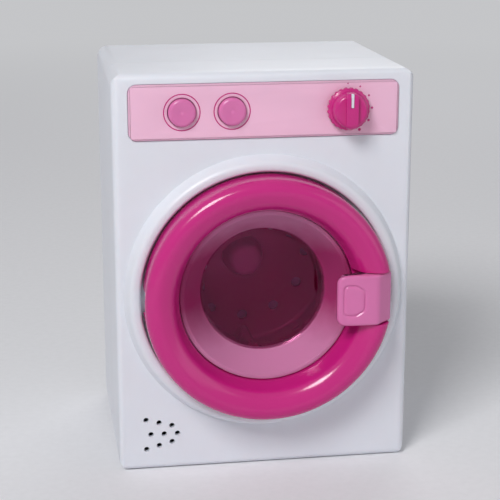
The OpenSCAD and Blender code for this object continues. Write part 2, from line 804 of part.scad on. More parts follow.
module drum() {
    lip = 4.6;
    color("#c8408f")
    difference() {
        union() {
            turned(drum_axis)
                polygon(rounded([
                    [drum_r - lip, drum_d, 0.7], [drum_r, drum_d, 1.2], [drum_r, drum_end, 2],
                    [0, drum_end, 0], [0, drum_end - drum_wall, 0],
                    [drum_r - drum_wall, drum_end - drum_wall, 1.5],
                    [drum_r - drum_wall, drum_d + 1.4, 0], [drum_r - lip, drum_d + 1.4, 0.6]
                ]));
            // hub that takes the shaft
            rod(drum_axis, drum_end - 8, drum_end, shaft_dia / 2 + 3);
            intersection() {
                for (k = [0:lifters - 1])
                    slab(drum_d + 0.7, drum_end - 0.7)
                        translate(drum_axis) rotate(k * 360 / lifters)
                            translate([0, -drum_r])
                                polygon(rounded([[-5, 0.6, 0], [-1.6, drum_wall + lifter_h, 1.4],
                                                 [1.6, drum_wall + lifter_h, 1.4], [5, 0.6, 0]]));
                turned(drum_axis)
                    polygon([[0, drum_d + 0.7], [drum_r - lip, drum_d + 0.7], [drum_r - 0.6, drum_d + 2],
                             [drum_r - 0.6, drum_end - 0.7], [0, drum_end - 0.7]]);
            }
        }
        rod(drum_axis, drum_d, drum_end + 1, shaft_dia / 2 + fit);
        drum_holes();
    }
}

module drum_cap() {
    // domed cap that hides the shaft's end inside the drum
    top = drum_end - 11.5;
    inner = shaft_dia / 2 + 3 + fit;
    foot = drum_end - drum_wall - seat;
    color("#f0d4e4")
    turned(drum_axis)
        polygon(rounded([[0, top, 0], [inner + 1.2, top, 2.4], [inner + 3.4, foot, 0.6],
                         [inner, foot, 0], [inner, drum_end - 8 - seat, 0],
                         [0, drum_end - 8 - seat, 0]]));
}

module drum_shaft() {
    color("#b9bbc0")
    rod(drum_axis, drum_end - 7.5, cover_d + plate_t, shaft_dia / 2);
}

module drum_gear() {
    color("#e9e6da")
    difference() {
        union() {
            gear(drum_axis, 2, drum_teeth, angle_1);
            rod(drum_axis, layer[0], layer[2] + gear_face, shaft_dia / 2 + 2);
        }
        rod(drum_axis, 0, far, shaft_dia / 2 + fit);
        for (a = [30:60:330])
            rod(drum_axis + polar(drum_pitch * 0.6, a), layer[1] + gear_face, far, drum_pitch * 0.17, 24);
    }
}

// ---------------------------------------------------------------- gearbox

module gearbox_outline() {
    translate(drum_axis) circle(drum_pitch + 3, $fn = round_fn);
    translate(idler_1) circle(wheel_pitch + 3.2, $fn = round_fn);
    translate(idler_2) circle(wheel_pitch + 3, $fn = round_fn);
    translate(motor_axis) circle(motor_r + 2.4, $fn = round_fn);
    for (p = posts) translate(p) circle(post_r + 1.4, $fn = small_fn);
}

module gearbox_base() {
    color("#cfd2da")
    difference() {
        union() {
            slab(plate_d, plate_d + plate_t) gearbox_outline();
            for (p = posts) rod(p, plate_d, cover_d, post_r);
            // two arms that clip the motor against the plate
            for (s = [-1, 1]) {
                z = motor_axis.y + s * (motor_flat / 2 + seat + clip_t / 2);
                block([motor_axis.x - 3, motor_d - clip_t, z - clip_t / 2],
                      [motor_axis.x + 3, plate_d + bite, z + clip_t / 2]);
                block([motor_axis.x - 3, motor_d - clip_t, z - s * 1.2 - clip_t / 2],
                      [motor_axis.x + 3, motor_d - seat, z - s * 1.2 + clip_t / 2]);
            }
        }
        rod(drum_axis, plate_d - 1, plate_d + plate_t + 1, shaft_dia / 2 + 0.6);
        rod(motor_axis, plate_d - 1, plate_d + plate_t + 1, motor_nose_r + 0.15);
        for (p = [idler_1, idler_2]) rod(p, plate_d - 1, plate_d + plate_t + 1, gear_pin_r + fit);
        for (p = posts) rod(p, plate_d - 1, cover_d + 1, gearbox_screw_r + fit);
    }
}

module gearbox_cover() {
    color("#cfd2da")
    difference() {
        slab(cover_d, cover_d + plate_t) gearbox_outline();
        rod(drum_axis, cover_d - 1, cover_d + plate_t + 1, shaft_dia / 2 + run);
        for (p = [idler_1, idler_2]) rod(p, cover_d - 1, cover_d + plate_t + 1, gear_pin_r + fit);
        for (p = posts) rod(p, cover_d - 1, cover_d + plate_t + 1, gearbox_screw_r + 0.1);
        rod(motor_axis, cover_d - 1, cover_d + plate_t + 1, motor_r * 0.6);
    }
}

module gearbox_screws() {
    color("#b9bbc0")
    for (i = [0:3])
        translate([posts[i].x, 0, posts[i].y])
            screw_back(cover_d + plate_t + seat / 2, gearbox_screw_r, 2.1, 1.3,
                       cover_d - plate_d + plate_t + (i < 3 ? 2.4 : 0));
}

module gear_pins() {
    color("#b9bbc0")
    for (p = [idler_1, idler_2]) rod(p, plate_d, cover_d + plate_t, gear_pin_r);
}

// A moulded wheel and pinion side by side on one hub.
module idler(at, wheel_layer, wheel_tooth_at, pinion_layer, pinion_tooth_at) {
    color("#e9e6da")
    difference() {
        union() {
            gear(at, wheel_layer, wheel_teeth, wheel_tooth_at);
            gear(at, pinion_layer, pinion_teeth, pinion_tooth_at);
            rod(at, layer[0], layer[2] + gear_face, hub_r);
        }
        rod(at, 0, far, gear_pin_r + run);
    }
}

half_tooth = 180 / pinion_teeth;        // turns a pinion so that a gap faces its wheel
module idler_near_drum() idler(idler_1, 1, angle_2, 2, angle_1 + 180 + half_tooth);
module idler_near_motor() idler(idler_2, 0, angle_3, 1, angle_2 + 180 + half_tooth);

module motor_outline() {
    intersection() {
        circle(motor_r, $fn = round_fn);
        square([2 * motor_r, motor_flat], center = true);
    }
}

module motor_can() {
    color("#b9bbc0")
    difference() {
        union() {
            slab(motor_d + motor_cap_t, plate_d) translate(motor_axis) motor_outline();
            rod(motor_axis, plate_d - 1, plate_d + 1.5, motor_nose_r);
        }
        rod(motor_axis, motor_d, far, motor_shaft_r + run);
    }
}

module motor_end_cap() {
    color("#f2f2ee")
    difference() {
        union() {
            slab(motor_d, motor_d + motor_cap_t) translate(motor_axis) motor_outline();
            rod(motor_axis, motor_d - 1.5, motor_d + 1, motor_nose_r);
        }
        rod(motor_axis, motor_d + 0.5, far, motor_shaft_r + run);
    }
}

module motor_shaft() {
    color("#b9bbc0")
    rod(motor_axis, motor_d + 1, layer[0] + gear_face + 1, motor_shaft_r);
}

module motor_pinion() {
    color("#e9e6da")
    difference() {
        gear(motor_axis, 0, pinion_teeth, angle_3 + 180 + half_tooth);
        rod(motor_axis, 0, far, motor_shaft_r + fit);
    }
}

// ---------------------------------------------------------------- door

door_screw_r = 0.95;
door_screw_ring = (flange_r + rib_t + door_r - ring_skin) / 2 - 0.2;
module door_screw_places() {
    for (a = [45:90:315])
        translate([door_screw_ring * cos(a), 0, door_z + door_screw_ring * sin(a)]) children();
}

// Section of the hollow ring: domed outside, with a slope that steepens towards the window.
module ring_section() {
    slope = (dome_d - ring_front) / (crest_r - dome_r);
    skin_drop = ring_skin * norm([1, slope]);
    rib_r = flange_r + 0.15 + rib_t;
    corner_at = rib_r + 1.2;
    hollow_top = ring_front + skin_drop;
    polygon(rounded([
        [door_r, ring_back, 0.8],
        [door_r, ring_front, ring_round],
        [crest_r, ring_front, 6],
        [dome_r, dome_d, 6],
        [window_r, slope_end, 0.9],
        [window_r, flange_d - seat, 0],
        [flange_r + 0.15, flange_d - seat, 0],
        [flange_r + 0.15, retainer_d - seat, 0],
        [rib_r, retainer_d - seat, 0],
        [rib_r, dome_d + 2 * ring_skin, 0],
        [corner_at, hollow_top + slope * (crest_r - corner_at), 1],
        [crest_r, hollow_top, 2],
        [door_r - ring_skin, hollow_top, 2.4],
        [door_r - ring_skin, ring_back, 0]
    ]));
}

module handle_space() {
    // opening in the ring that the handle lies in
    z = handle_h / 2 + handle_side;
    block([handle_tip - 2, -far, door_z - z], [far, -6.2, door_z + z]);
}

// Two cheeks inside the ring, above and below the door's middle, that carry a pin.
module pin_cheeks(x, half_w, inside, thick) {
    for (s = [-1, 1]) {
        z = door_z + s * (inside + thick / 2);
        block([x - half_w, ring_front + 1.6, z - thick / 2],
              [x + half_w, retainer_d - seat, z + thick / 2]);
    }
}

module door_ring() {
    color("#c22f86")
    difference() {
        union() {
            turned(drum_axis) ring_section();
            intersection() {
                union() {
                    door_screw_places() rod([0, 0], ring_front + 1.6, retainer_d - seat, 2.4);
                    pin_cheeks(hinge_x, 2.6, hinge_lug_h / 2 + 0.3, hinge_cheek);
                    pin_cheeks(handle_x, 2.4, handle_h / 2 + handle_side, handle_cheek);
                }
                turned(drum_axis)
                    polygon([[flange_r + 0.5, retainer_d - seat], [window_r + 1, slope_end + 0.6],
                             [crest_r, ring_front + 1], [door_r - 1, ring_front + 2.6],
                             [door_r - 1, retainer_d - seat]]);
            }
        }
        handle_space();
        // slot for the hinge lug, open at the back and at the side
        upright(hinge_x, hinge_d, door_z, hinge_lug_h + 0.6, hinge_lug_r + 0.4);
        block([-far, hinge_d - hinge_lug_r - 0.35, door_z - hinge_lug_h / 2 - 0.3],
              [hinge_x, 0, door_z + hinge_lug_h / 2 + 0.3]);
        block([-far, hinge_d, door_z - hinge_lug_h / 2 - 0.3],
              [hinge_x + hinge_lug_r + 0.4, 0, door_z + hinge_lug_h / 2 + 0.3]);
        upright(hinge_x, hinge_d, door_z, hinge_lug_h + 2 * hinge_cheek + 0.4, pin_dia / 2 + fit);
        upright(handle_x, handle_d, door_z, handle_h + 2 * handle_cheek + 0.4, pin_dia / 2 + fit);
        door_screw_places() rod([0, 0], retainer_d - 6, far, door_screw_r + fit);
    }
}

bowl_rim = slope_end + 1.6;             // front edge of the bowl, just inside the ring
bowl_floor = bowl_rim + bowl_depth;
bowl_floor_r = window_r - 9.5;

module door_window() {
    outer = window_r - 0.35;
    color("#e08cc0", 0.5)
    turned(drum_axis)
        polygon(rounded([
            [0, bowl_floor - 0.6, 0],
            [bowl_floor_r, bowl_floor, 4],
            [outer - bowl_wall, bowl_rim, 0.4],
            [outer, bowl_rim, 0.4],
            [outer, flange_d, 0],
            [flange_r, flange_d, 0],
            [flange_r, flange_d + flange_t, 0],
            [outer - 0.9, flange_d + flange_t, 0.8],
            [bowl_floor_r + 1.2, bowl_floor + bowl_wall, 4.6],
            [0, bowl_floor + bowl_wall - 0.6, 0]
        ]));
}

module door_back() {
    color("#c22f86")
    difference() {
        turned(drum_axis)
            polygon([[window_r + 0.2, retainer_d], [door_r - ring_skin - 0.25, retainer_d],
                     [door_r - ring_skin - 0.25, ring_back], [window_r + 0.2, ring_back]]);
        // clear of the hinge lug and of the handle's hook
        block([-far, -far, door_z - hinge_lug_h / 2 - 0.4],
              [hinge_x + hinge_lug_r + 0.5, far, door_z + hinge_lug_h / 2 + 0.4]);
        block([handle_x - 1.4, -far, door_z - hook_w / 2 - 0.5],
              [hook_x + hook_t + 0.6, far, door_z + hook_w / 2 + 0.5]);
        door_screw_places() {
            rod([0, 0], -far, far, door_screw_r + 0.15);
            rod([0, 0], ring_back - 0.9, far, 2.1);
        }
    }
}

module door_screws() {
    color("#b9bbc0")
    door_screw_places() screw_back(ring_back - 0.9 + seat / 2, door_screw_r, 1.8, 0.8, 6);
}

module door_hinge_pin() {
    color("#b9bbc0")
    upright(hinge_x, hinge_d, door_z, hinge_lug_h + 2 * hinge_cheek - 0.2, pin_dia / 2);
}

module handle_pin() {
    color("#b9bbc0")
    upright(handle_x, handle_d, door_z, handle_h + 2 * handle_cheek - 0.2, pin_dia / 2);
}

handle_front = ring_front - handle_proud;
handle_end = door_r - 0.3;
mark_line = 0.9;                        // width of the groove that draws the thumb mark
module thumb_outline(inset) {
    side = 5.6 - inset;
    bend = 4 - inset / 2;
    point = 3.6 - inset / 2;
    polygon(rounded([[inset, -side, 1.4], [bend, -side, 0], [7.6 - inset, -point, 2],
                     [7.6 - inset, point, 2], [bend, side, 0], [inset, side, 1.4]]));
}

module door_handle() {
    z = handle_h / 2;
    color("#dd7fb4")
    difference() {
        union() {
            intersection() {
                standing(door_z - z, door_z + z)
                    polygon(rounded([
                        [handle_tip, handle_front + 3.1, 1],
                        [handle_tip + 1.2, handle_front + 0.2, 1.5],
                        [crest_r - 1, handle_front, 2.5],
                        [handle_end, ring_front + 4.4, 1.6],
                        [handle_end, handle_d + 0.4, 0.6],
                        [handle_x + 2.2, handle_d + 0.9, 0],
                        [handle_x - 2.2, handle_d + 0.9, 0],
                        [handle_x - 4.4, handle_front + 3.2, 1.5],
                        [handle_tip + 3, handle_front + 3.2, 2]
                    ]));
                slab(handle_front - 1, 0)
                    translate([0, door_z])
                        polygon(rounded([[handle_tip, -z, 3.2], [door_r, -z, 0],
                                         [door_r, z, 0], [handle_tip, z, 3.2]]));
                rod(drum_axis, handle_front - 1, 0, door_r - 0.2, round_fn);
            }
            upright(handle_x, handle_d, door_z, handle_h, pin_dia / 2 + 1.5);
            // hook that reaches through the casing to the catch
            standing(door_z - hook_w / 2, door_z + hook_w / 2)
                polygon([[hook_x, handle_d], [hook_x + hook_t, handle_d], [hook_x + hook_t, nose_d],
                         [hook_x + hook_t + hook_nose - 0.6, nose_d],
                         [hook_x + hook_t + hook_nose, nose_d + 0.4],
                         [hook_x + hook_t + 0.4, nose_d + nose_t], [hook_x + 0.4, nose_d + nose_t],
                         [hook_x, nose_d + nose_t - 0.4]]);
        }
        upright(handle_x, handle_d, door_z, handle_h + 2, pin_dia / 2 + run);
        // shallow D-shaped thumb mark
        slab(handle_front - 1, handle_front + 0.7)
            translate([handle_tip + 2.6, door_z])
                difference() {
                    thumb_outline(0);
                    thumb_outline(mark_line);
                }
    }
}

spring_x = door_r - ring_skin - 2.3;
spring_z = door_z + hook_w / 2 + 3.2;
module handle_spring() {
    top = handle_d + 0.9;
    height = retainer_d - top - 0.9;
    color("#b9bbc0")
    translate([spring_x, face_y + top + 0.45, spring_z])
        rotate([-90, 0, 0]) tube(coil(1.2, height, 5), 0.2, 6);
}

catch_screw_x = (bezel_in + bezel_r) / 2;
catch_pilot = wall - 4.8;               // end of the catch screw's hole, inside the bezel
module door_catch() {
    // leaf of spring steel behind the front, which the hook snaps over
    end = min(catch_screw_x + 2.4, inner_w / 2 - 0.4);
    color("#c6c8cc")
    difference() {
        block([catch_edge, catch_d, door_z - hook_w / 2], [end, catch_d + catch_t, door_z + hook_w / 2]);
        rod([catch_screw_x, door_z], 0, far, 1.1);
    }
}

module catch_screw() {
    color("#b9bbc0")
    translate([catch_screw_x, 0, door_z])
        screw_back(catch_d + catch_t + seat / 2, 0.9, 1.8, 1, 5);
}

// ---------------------------------------------------------------- batteries

// Which way each cell points, and its height.
cells = [[-1, box_z - cell_pitch / 2], [1, box_z + cell_pitch / 2]];
contact_gap = (box_w - cell_len) / 2;

// A bar along X at the cells' depth.
module along_x(x0, x1, z, r) {
    translate([x0, face_y + cell_d, z]) rotate([0, 90, 0]) cylinder(h = x1 - x0, r = r, $fn = small_fn);
}

module battery_cells() {
    color("#3f6fb0")
    for (c = cells) {
        shift = c.x * (contact_gap - 0.9);
        nub = cell_len / 2 - 1.3;
        x0 = shift - (c.x < 0 ? nub : cell_len / 2);
        x1 = shift + (c.x > 0 ? nub : cell_len / 2);
        along_x(x0, x1, c.y, cell_r);
        along_x(c.x > 0 ? x1 - 0.1 : x0 - 1.3, c.x > 0 ? x1 + 1.3 : x0 + 0.1, c.y, 2.7);
    }
}

module battery_springs() {
    color("#c6c8cc")
    for (c = cells) {
        height = 2 * contact_gap - 0.9 - 0.6 - 0.7;
        translate([-c.x * (box_w / 2 - 0.85), face_y + cell_d, c.y])
            rotate([0, c.x * 90, 0]) tube(coil(3, height, 4), 0.3, 6);
    }
}

module battery_plates() {
    color("#c6c8cc")
    for (s = [-1, 1], c = cells) {
        x = s * (box_w / 2 - 0.3);
        block([x - 0.2, cell_d - 5, c.y - 5], [x + 0.2, cell_d + 5, c.y + 5]);
    }
}

module battery_cover() {
    color("#eeeff4")
    difference() {
        union() {
            slab(cover_in, body_d)
                translate([0, box_z]) rounded_rect(cover_w, cover_h, 3);
            // two ribs that keep the cells from rattling
            for (s = [-1, 1])
                block([s * 12 - 0.7, cover_in - 0.4, box_z - box_h / 2 + 1],
                      [s * 12 + 0.7, cover_in + bite, box_z + box_h / 2 - 1]);
        }
        for (x = [-1, 1]) {
            rod([x * cover_screw_x, box_z], 0, far, cover_screw_r + 0.2);
            rod([x * cover_screw_x, box_z], body_d - 1, far, 2.6);
        }
        // finger grooves
        for (i = [-2:2])
            slab(body_d - 0.6, body_d + 1)
                translate([0, box_z + i * 3]) rounded_rect(22, 1.2, 0.5);
    }
}

module cover_screws() {
    color("#b9bbc0")
    for (x = [-1, 1])
        translate([x * cover_screw_x, 0, box_z])
            screw_back(body_d - 1 + seat / 2, cover_screw_r, 2.3, 0.9, cover_screw_len - cover_t + 0.6);
}

// ---------------------------------------------------------------- leads

lead_r = 0.6;
lead_gap = lead_r + 0.25;               // from the middle of a pair to each wire's centre
module lead_pair(route) {
    path = smooth(route, 4);
    for (side = [-1, 1]) tube(beside(path, side * lead_gap), lead_r);
}

module motor_leads() {
    color("#c03030")
    lead_pair([
        [motor_axis.x - 6, face_y + motor_d - 0.1, motor_axis.y],
        [motor_axis.x - 6, face_y + motor_d - 2, motor_axis.y],
        [motor_axis.x - 6, face_y + motor_d - 4, motor_axis.y],
        [motor_axis.x - 9, face_y + motor_d - 9, motor_axis.y + 3],
        [24, face_y + board_back + 9, panel_z - 3],
        [24, face_y + board_back + 4, panel_z - 4],
        [24, face_y + board_back + 2, panel_z - 4],
        [24, face_y + board_back + 0.1, panel_z - 4]
    ]);
}

module speaker_leads() {
    color("#30303a")
    lead_pair([
        [grille_x, face_y + speaker_back + 0.1, grille_z],
        [grille_x, face_y + speaker_back + 1.8, grille_z],
        [grille_x, face_y + speaker_back + 3.4, grille_z + 0.8],
        [grille_x, face_y + speaker_back + 5.5, grille_z + 4],
        [case_boss_side, face_y + 17, case_screw_low - 6],
        [case_boss_side, face_y + 19, case_screw_low + 6],
        [-inner_w / 2 + 3, face_y + 21, door_z - 16],
        [-inner_w / 2 + 2.4, face_y + 21, door_z + 20],
        [-inner_w / 2 + 3.5, face_y + 20, panel_z - 18],
        [-32, face_y + board_back + 8, panel_z - 2],
        [-30, face_y + board_back + 4, panel_z],
        [-30, face_y + board_back + 2, panel_z],
        [-30, face_y + board_back + 0.1, panel_z]
    ]);
}

module battery_leads() {
    color("#c03030")
    lead_pair([
        [lead_hole.x, face_y + box_floor + 0.3, lead_hole.y],
        [lead_hole.x, face_y + box_floor - 1.6, lead_hole.y],
        [lead_hole.x + 0.8, face_y + box_floor - 3.6, lead_hole.y + 0.2],
        [lead_hole.x + 4, face_y + box_floor - 4.6, lead_hole.y + 1],
        [lead_hole.x + 11.5, face_y + box_floor - 8, lead_hole.y + 4],
        [inner_w / 2 - 8, face_y + box_floor - 19, lead_hole.y + 14],
        [inner_w / 2 - 3.2, face_y + 34, door_z + 2],
        [inner_w / 2 - 3.6, face_y + 30, door_z + 40],
        [inner_w / 2 - 12, face_y + 26, panel_z - 8],
        [31, face_y + board_back + 8, panel_z + 3],
        [30, face_y + board_back + 4, panel_z + 4],
        [30, face_y + board_back + 2, panel_z + 4],
        [30, face_y + board_back + 0.1, panel_z + 4]
    ]);
}

// ---------------------------------------------------------------- the whole object

front_shell();
rear_shell();
case_screws();
control_fascia();
circuit_board();
board_components();
board_screws();
rotary_switch();
keypad();
programme_dial();
left_button();
right_button();
speaker();
speaker_cone();
tub();
tub_screws();
shaft_bush();
drum();
drum_cap();
drum_shaft();
drum_gear();
gearbox_base();
gearbox_cover();
gearbox_screws();
gear_pins();
idler_near_drum();
idler_near_motor();
motor_can();
motor_end_cap();
motor_shaft();
motor_pinion();
door_ring();
door_window();
door_back();
door_screws();
door_hinge_pin();
door_handle();
handle_pin();
handle_spring();
door_catch();
catch_screw();
battery_cells();
battery_springs();
battery_plates();
battery_cover();
cover_screws();
motor_leads();
speaker_leads();
battery_leads();
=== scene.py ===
# %% [markdown]
# # A toy washing machine, dressed
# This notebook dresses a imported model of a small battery-operated toy washing machine: a white
# moulded casing, a magenta porthole door with a clear pink window, and a geared drum behind it.
# The model's pieces are already in their places, in metres, with Z up and the door facing -Y.
# We only read where they are, give each one a finish, and build again the few pieces whose
# soft shapes are easier to make here than in solid modelling.

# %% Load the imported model
import math

import bmesh
import bpy
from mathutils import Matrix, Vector


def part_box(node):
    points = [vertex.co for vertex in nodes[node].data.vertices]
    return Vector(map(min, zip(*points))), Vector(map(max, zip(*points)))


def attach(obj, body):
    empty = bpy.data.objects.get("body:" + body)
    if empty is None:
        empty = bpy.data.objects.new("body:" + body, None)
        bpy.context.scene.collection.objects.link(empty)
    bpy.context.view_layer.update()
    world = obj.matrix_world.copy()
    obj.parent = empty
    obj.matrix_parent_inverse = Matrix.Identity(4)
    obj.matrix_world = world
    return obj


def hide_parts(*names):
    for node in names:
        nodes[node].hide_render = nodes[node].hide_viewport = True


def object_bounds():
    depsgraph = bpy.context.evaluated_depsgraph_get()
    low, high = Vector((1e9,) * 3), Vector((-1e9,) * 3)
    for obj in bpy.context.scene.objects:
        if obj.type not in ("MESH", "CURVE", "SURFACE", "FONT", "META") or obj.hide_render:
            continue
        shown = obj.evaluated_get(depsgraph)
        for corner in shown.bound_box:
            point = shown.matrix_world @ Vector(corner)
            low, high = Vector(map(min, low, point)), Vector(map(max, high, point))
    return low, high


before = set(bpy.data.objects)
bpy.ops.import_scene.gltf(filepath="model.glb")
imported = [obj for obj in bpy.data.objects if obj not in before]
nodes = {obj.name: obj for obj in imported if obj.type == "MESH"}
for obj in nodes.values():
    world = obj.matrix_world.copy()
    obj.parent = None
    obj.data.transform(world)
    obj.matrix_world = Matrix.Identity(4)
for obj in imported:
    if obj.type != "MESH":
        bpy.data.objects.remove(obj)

mm = 0.001
cad_low, cad_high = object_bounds()
print("pieces:", len(nodes), "size in mm:", [round(side / mm, 1) for side in cad_high - cad_low])

# %% [markdown]
# ## Where things are
# Every measure below is read from the model's own boxes, so a changed model moves what we add.
# The door is round about a line from front to back through the middle of the window. Depths are
# counted from the casing's front face, which lies a known gap behind the door ring's back edge.

# %% Landmarks
window_low, window_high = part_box("door_window")
_, ring_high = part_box("door_ring")
handle_low, handle_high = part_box("door_handle")
fascia_low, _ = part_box("control_fascia")
dial_low, dial_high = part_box("programme_dial")
button_boxes = [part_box("left_button"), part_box("right_button")]

behind_door = 1.2 * mm  # the gap between the ring's back edge and the casing's front face
front_face = ring_high.y + behind_door
door_axis = ((window_low + window_high) / 2).xz
print("door axis (x, z) in mm:", [round(v / mm, 2) for v in door_axis],
      "front face y:", round(front_face / mm, 2))

# %% [markdown]
# ## Camera
# The photograph looks at the front from a little to its left and from slightly above. We aim at the
# middle of the object and step back far enough that it fills the frame without wide-angle stretch.

# %% Camera
view_azimuth = math.radians(-9)
view_elevation = math.radians(15)
view_distance = 0.56
lens_mm = 103

middle = (cad_low + cad_high) / 2
camera_data = bpy.data.cameras.new("camera")
camera_data.lens = lens_mm
camera = bpy.data.objects.new("camera", camera_data)
bpy.context.scene.collection.objects.link(camera)
towards = Vector((
    math.sin(view_azimuth) * math.cos(view_elevation),
    -math.cos(view_azimuth) * math.cos(view_elevation),
    math.sin(view_elevation),
))
camera.location = middle + towards * view_distance
camera.rotation_euler = (-towards).to_track_quat("-Z", "Y").to_euler()
bpy.context.scene.camera = camera
print("camera at", [round(v, 3) for v in camera.location])

# %% [markdown]
# ## Colours and nodes
# Colours are written as sRGB hex, the way a paint chart gives them, and shaders want linear light,
# so one function turns the first into the second, by the sRGB standard's formula. A second small
# function adds a shader node, sets its properties and links it, which keeps each material short
# enough to read. A texture's scale is worked out from the real size of its features.

# %% Helpers for materials
noise_low, noise_high = 0.3, 0.7  # most of a noise's values lie between these
gentle, firm = 0.5, 0.6  # strengths of a bump


def linear(hex_colour):
    """An sRGB colour such as #f4f4f6 as linear red, green, blue and alpha."""
    channels = [int(hex_colour[i:i + 2], 16) / 255 for i in (1, 3, 5)]
    return tuple(c / 12.92 if c <= 0.04045 else ((c + 0.055) / 1.055) ** 2.4
                 for c in channels) + (1.0,)


def add(tree, kind, settings, links=None):
    """Adds one node. Settings are sockets or properties by name; stops are a colour ramp's."""
    node = tree.nodes.new("ShaderNode" + kind)
    for key, value in settings.items():
        if key == "stops":
            ramp = node.color_ramp
            ramp.elements[0].position, ramp.elements[0].color = value[0]
            ramp.elements[1].position, ramp.elements[1].color = value[-1]
            for place, colour in value[1:-1]:
                ramp.elements.new(place).color = colour
        elif isinstance(key, int) or key in node.inputs:
            node.inputs[key].default_value = value
        else:
            setattr(node, key, value)
    for key, socket in (links or {}).items():
        tree.links.new(socket, node.inputs[key])
    return node


def per_metre(size_mm):
    """A texture's scale, from the size in millimetres that its features have."""
    return 1 / (size_mm * mm)


def scaled(colour, factor):
    """The same colour, darker or lighter."""
    return tuple(min(1.0, c * factor) for c in colour[:3]) + (1.0,)


def blank_material(name):
    """A material without nodes, its tree, and the object's own coordinates."""
    material = bpy.data.materials.new(name)
    material.use_nodes = True
    tree = material.node_tree
    tree.nodes.clear()
    place = add(tree, "TexCoord", {}).outputs["Object"]
    return material, tree, place


# %% [markdown]
# ## Moulded plastics
# Toys of this kind are injection moulded. The casing is ABS, acrylonitrile butadiene styrene,
# with an IOR of 1.54. A mould that was spark eroded leaves a fine even grain, which dulls the
# casing to a satin, and a polished mould leaves the door and the handle glossy, with only the
# faint waviness that shrinkage gives. The melt mixes unevenly, so the colour drifts very slightly
# over a few centimetres. Edges aren't razor sharp, so a bevel of a quarter of a millimetre rounds
# the shading there. Grain finer than a pixel wouldn't show, so it is drawn about twice as coarse.
# Pale plastics also let a little light in, which comes out again up to a millimetre away.

# %% Moulded plastics
flow_mm, flow_bends = 26, 0.6
drift_dark, drift_light = 0.98, 1.015
sheen_low, sheen_high = 0.86, 1.16
edge_mm, wave_depth_mm = 0.25, 0.1


def moulded(name, hex_colour, roughness, grain_mm, grain_depth_mm, wave_mm=14, **sockets):
    """Moulded plastic: a drifting colour, a mould grain, slow waviness and softened edges."""
    colour = linear(hex_colour)
    material, tree, place = blank_material(name)
    flow = add(tree, "TexNoise", {
        "Scale": per_metre(flow_mm), "Detail": 3.0, "Distortion": flow_bends}, {"Vector": place})
    tint = add(tree, "ValToRGB", {"stops": [
        (noise_low, scaled(colour, drift_dark)), (noise_high, scaled(colour, drift_light))]},
        {"Fac": flow.outputs["Fac"]})
    sheen = add(tree, "MapRange", {
        "To Min": roughness * sheen_low, "To Max": roughness * sheen_high},
        {"Value": flow.outputs["Fac"]})
    edge = add(tree, "Bevel", {"Radius": edge_mm * mm, "samples": 6})
    wave = add(tree, "TexNoise", {"Scale": per_metre(wave_mm), "Detail": 1.0}, {"Vector": place})
    rise = add(tree, "Bump", {"Distance": wave_depth_mm * mm, "Strength": gentle}, {
        "Height": wave.outputs["Fac"], "Normal": edge.outputs[0]})
    grain = add(tree, "TexNoise", {"Scale": per_metre(grain_mm), "Detail": 2.0}, {"Vector": place})
    rough = add(tree, "Bump", {"Distance": grain_depth_mm * mm, "Strength": firm}, {
        "Height": grain.outputs["Fac"], "Normal": rise.outputs[0]})
    shader = add(tree, "BsdfPrincipled", {"IOR": 1.54, **sockets}, {
        "Base Color": tint.outputs["Color"], "Roughness": sheen.outputs["Result"],
        "Normal": rough.outputs[0]})
    add(tree, "OutputMaterial", {}, {"Surface": shader.outputs[0]})
    return material


soft_depth = 1.2 * mm  # how far light spreads inside a pale plastic
soft = {"Subsurface Weight": 0.12, "Subsurface Radius": (1.0, 0.7, 0.6),
        "Subsurface Scale": soft_depth}
abs_white = moulded("ABS_white_satin", "#e4e6ee", 0.36, 0.30, 0.012, **soft)
abs_magenta = moulded("ABS_magenta_gloss", "#c81e7e", 0.17, 0.45, 0.004, wave_mm=11)
abs_pink = moulded("ABS_pink_gloss", "#da74ae", 0.19, 0.45, 0.004, **soft)
abs_pale_pink = moulded("ABS_pale_pink_satin", "#f2bfd9", 0.30, 0.30, 0.010, **soft)
abs_grey = moulded("ABS_grey_white_satin", "#d8dae1", 0.42, 0.35, 0.015)
acetal_cream = moulded("acetal_cream", "#ece7d8", 0.32, 0.40, 0.008, IOR=1.48)
nylon_black = moulded("nylon_black", "#26262a", 0.45, 0.35, 0.015, IOR=1.53)
nylon_white = moulded("nylon_white", "#f1f1ec", 0.40, 0.35, 0.012, IOR=1.53)
silicone_grey = moulded("silicone_grey", "#d3d3d8", 0.62, 0.50, 0.020, IOR=1.41)
print("moulded plastics made:", len(bpy.data.materials))

# %% [markdown]
# ## Clear pink window
# The window bowl is moulded in general-purpose polystyrene, tinted pink, with an IOR of 1.59. Its
# floor is polished, so we look through it into the dark drum. Its wall is lightly frosted by the
# mould's texture, so it scatters part of the light. The wall's lower part shows a bright pale
# crescent and its upper part a thin pale arc, because the white throat lies behind them. Left and
# right we look past the throat and see the deep tint of thick plastic. The studio lamps light the
# crescent and the arc too little, so part of their brightness is painted light: the plastic's
# colour is painted paler at the bottom and the top of the window. The door turns about an upright
# pin, so the painted light stays at the bottom and the top when it opens. The highlights are kept
# low and pink.

# %% Clear and frosted polystyrene
window_r = (window_high.z - window_low.z) / 2
melt_mm, melt_drift = 9, 0.05
highlight = linear("#d889b4")
# shares of the window's height: the painted-light crescent ends, the deep tint runs between, the
# painted-light arc begins
painted_crescent_full, deep_from, deep_to, painted_arc_full = 0.20, 0.45, 0.70, 0.90


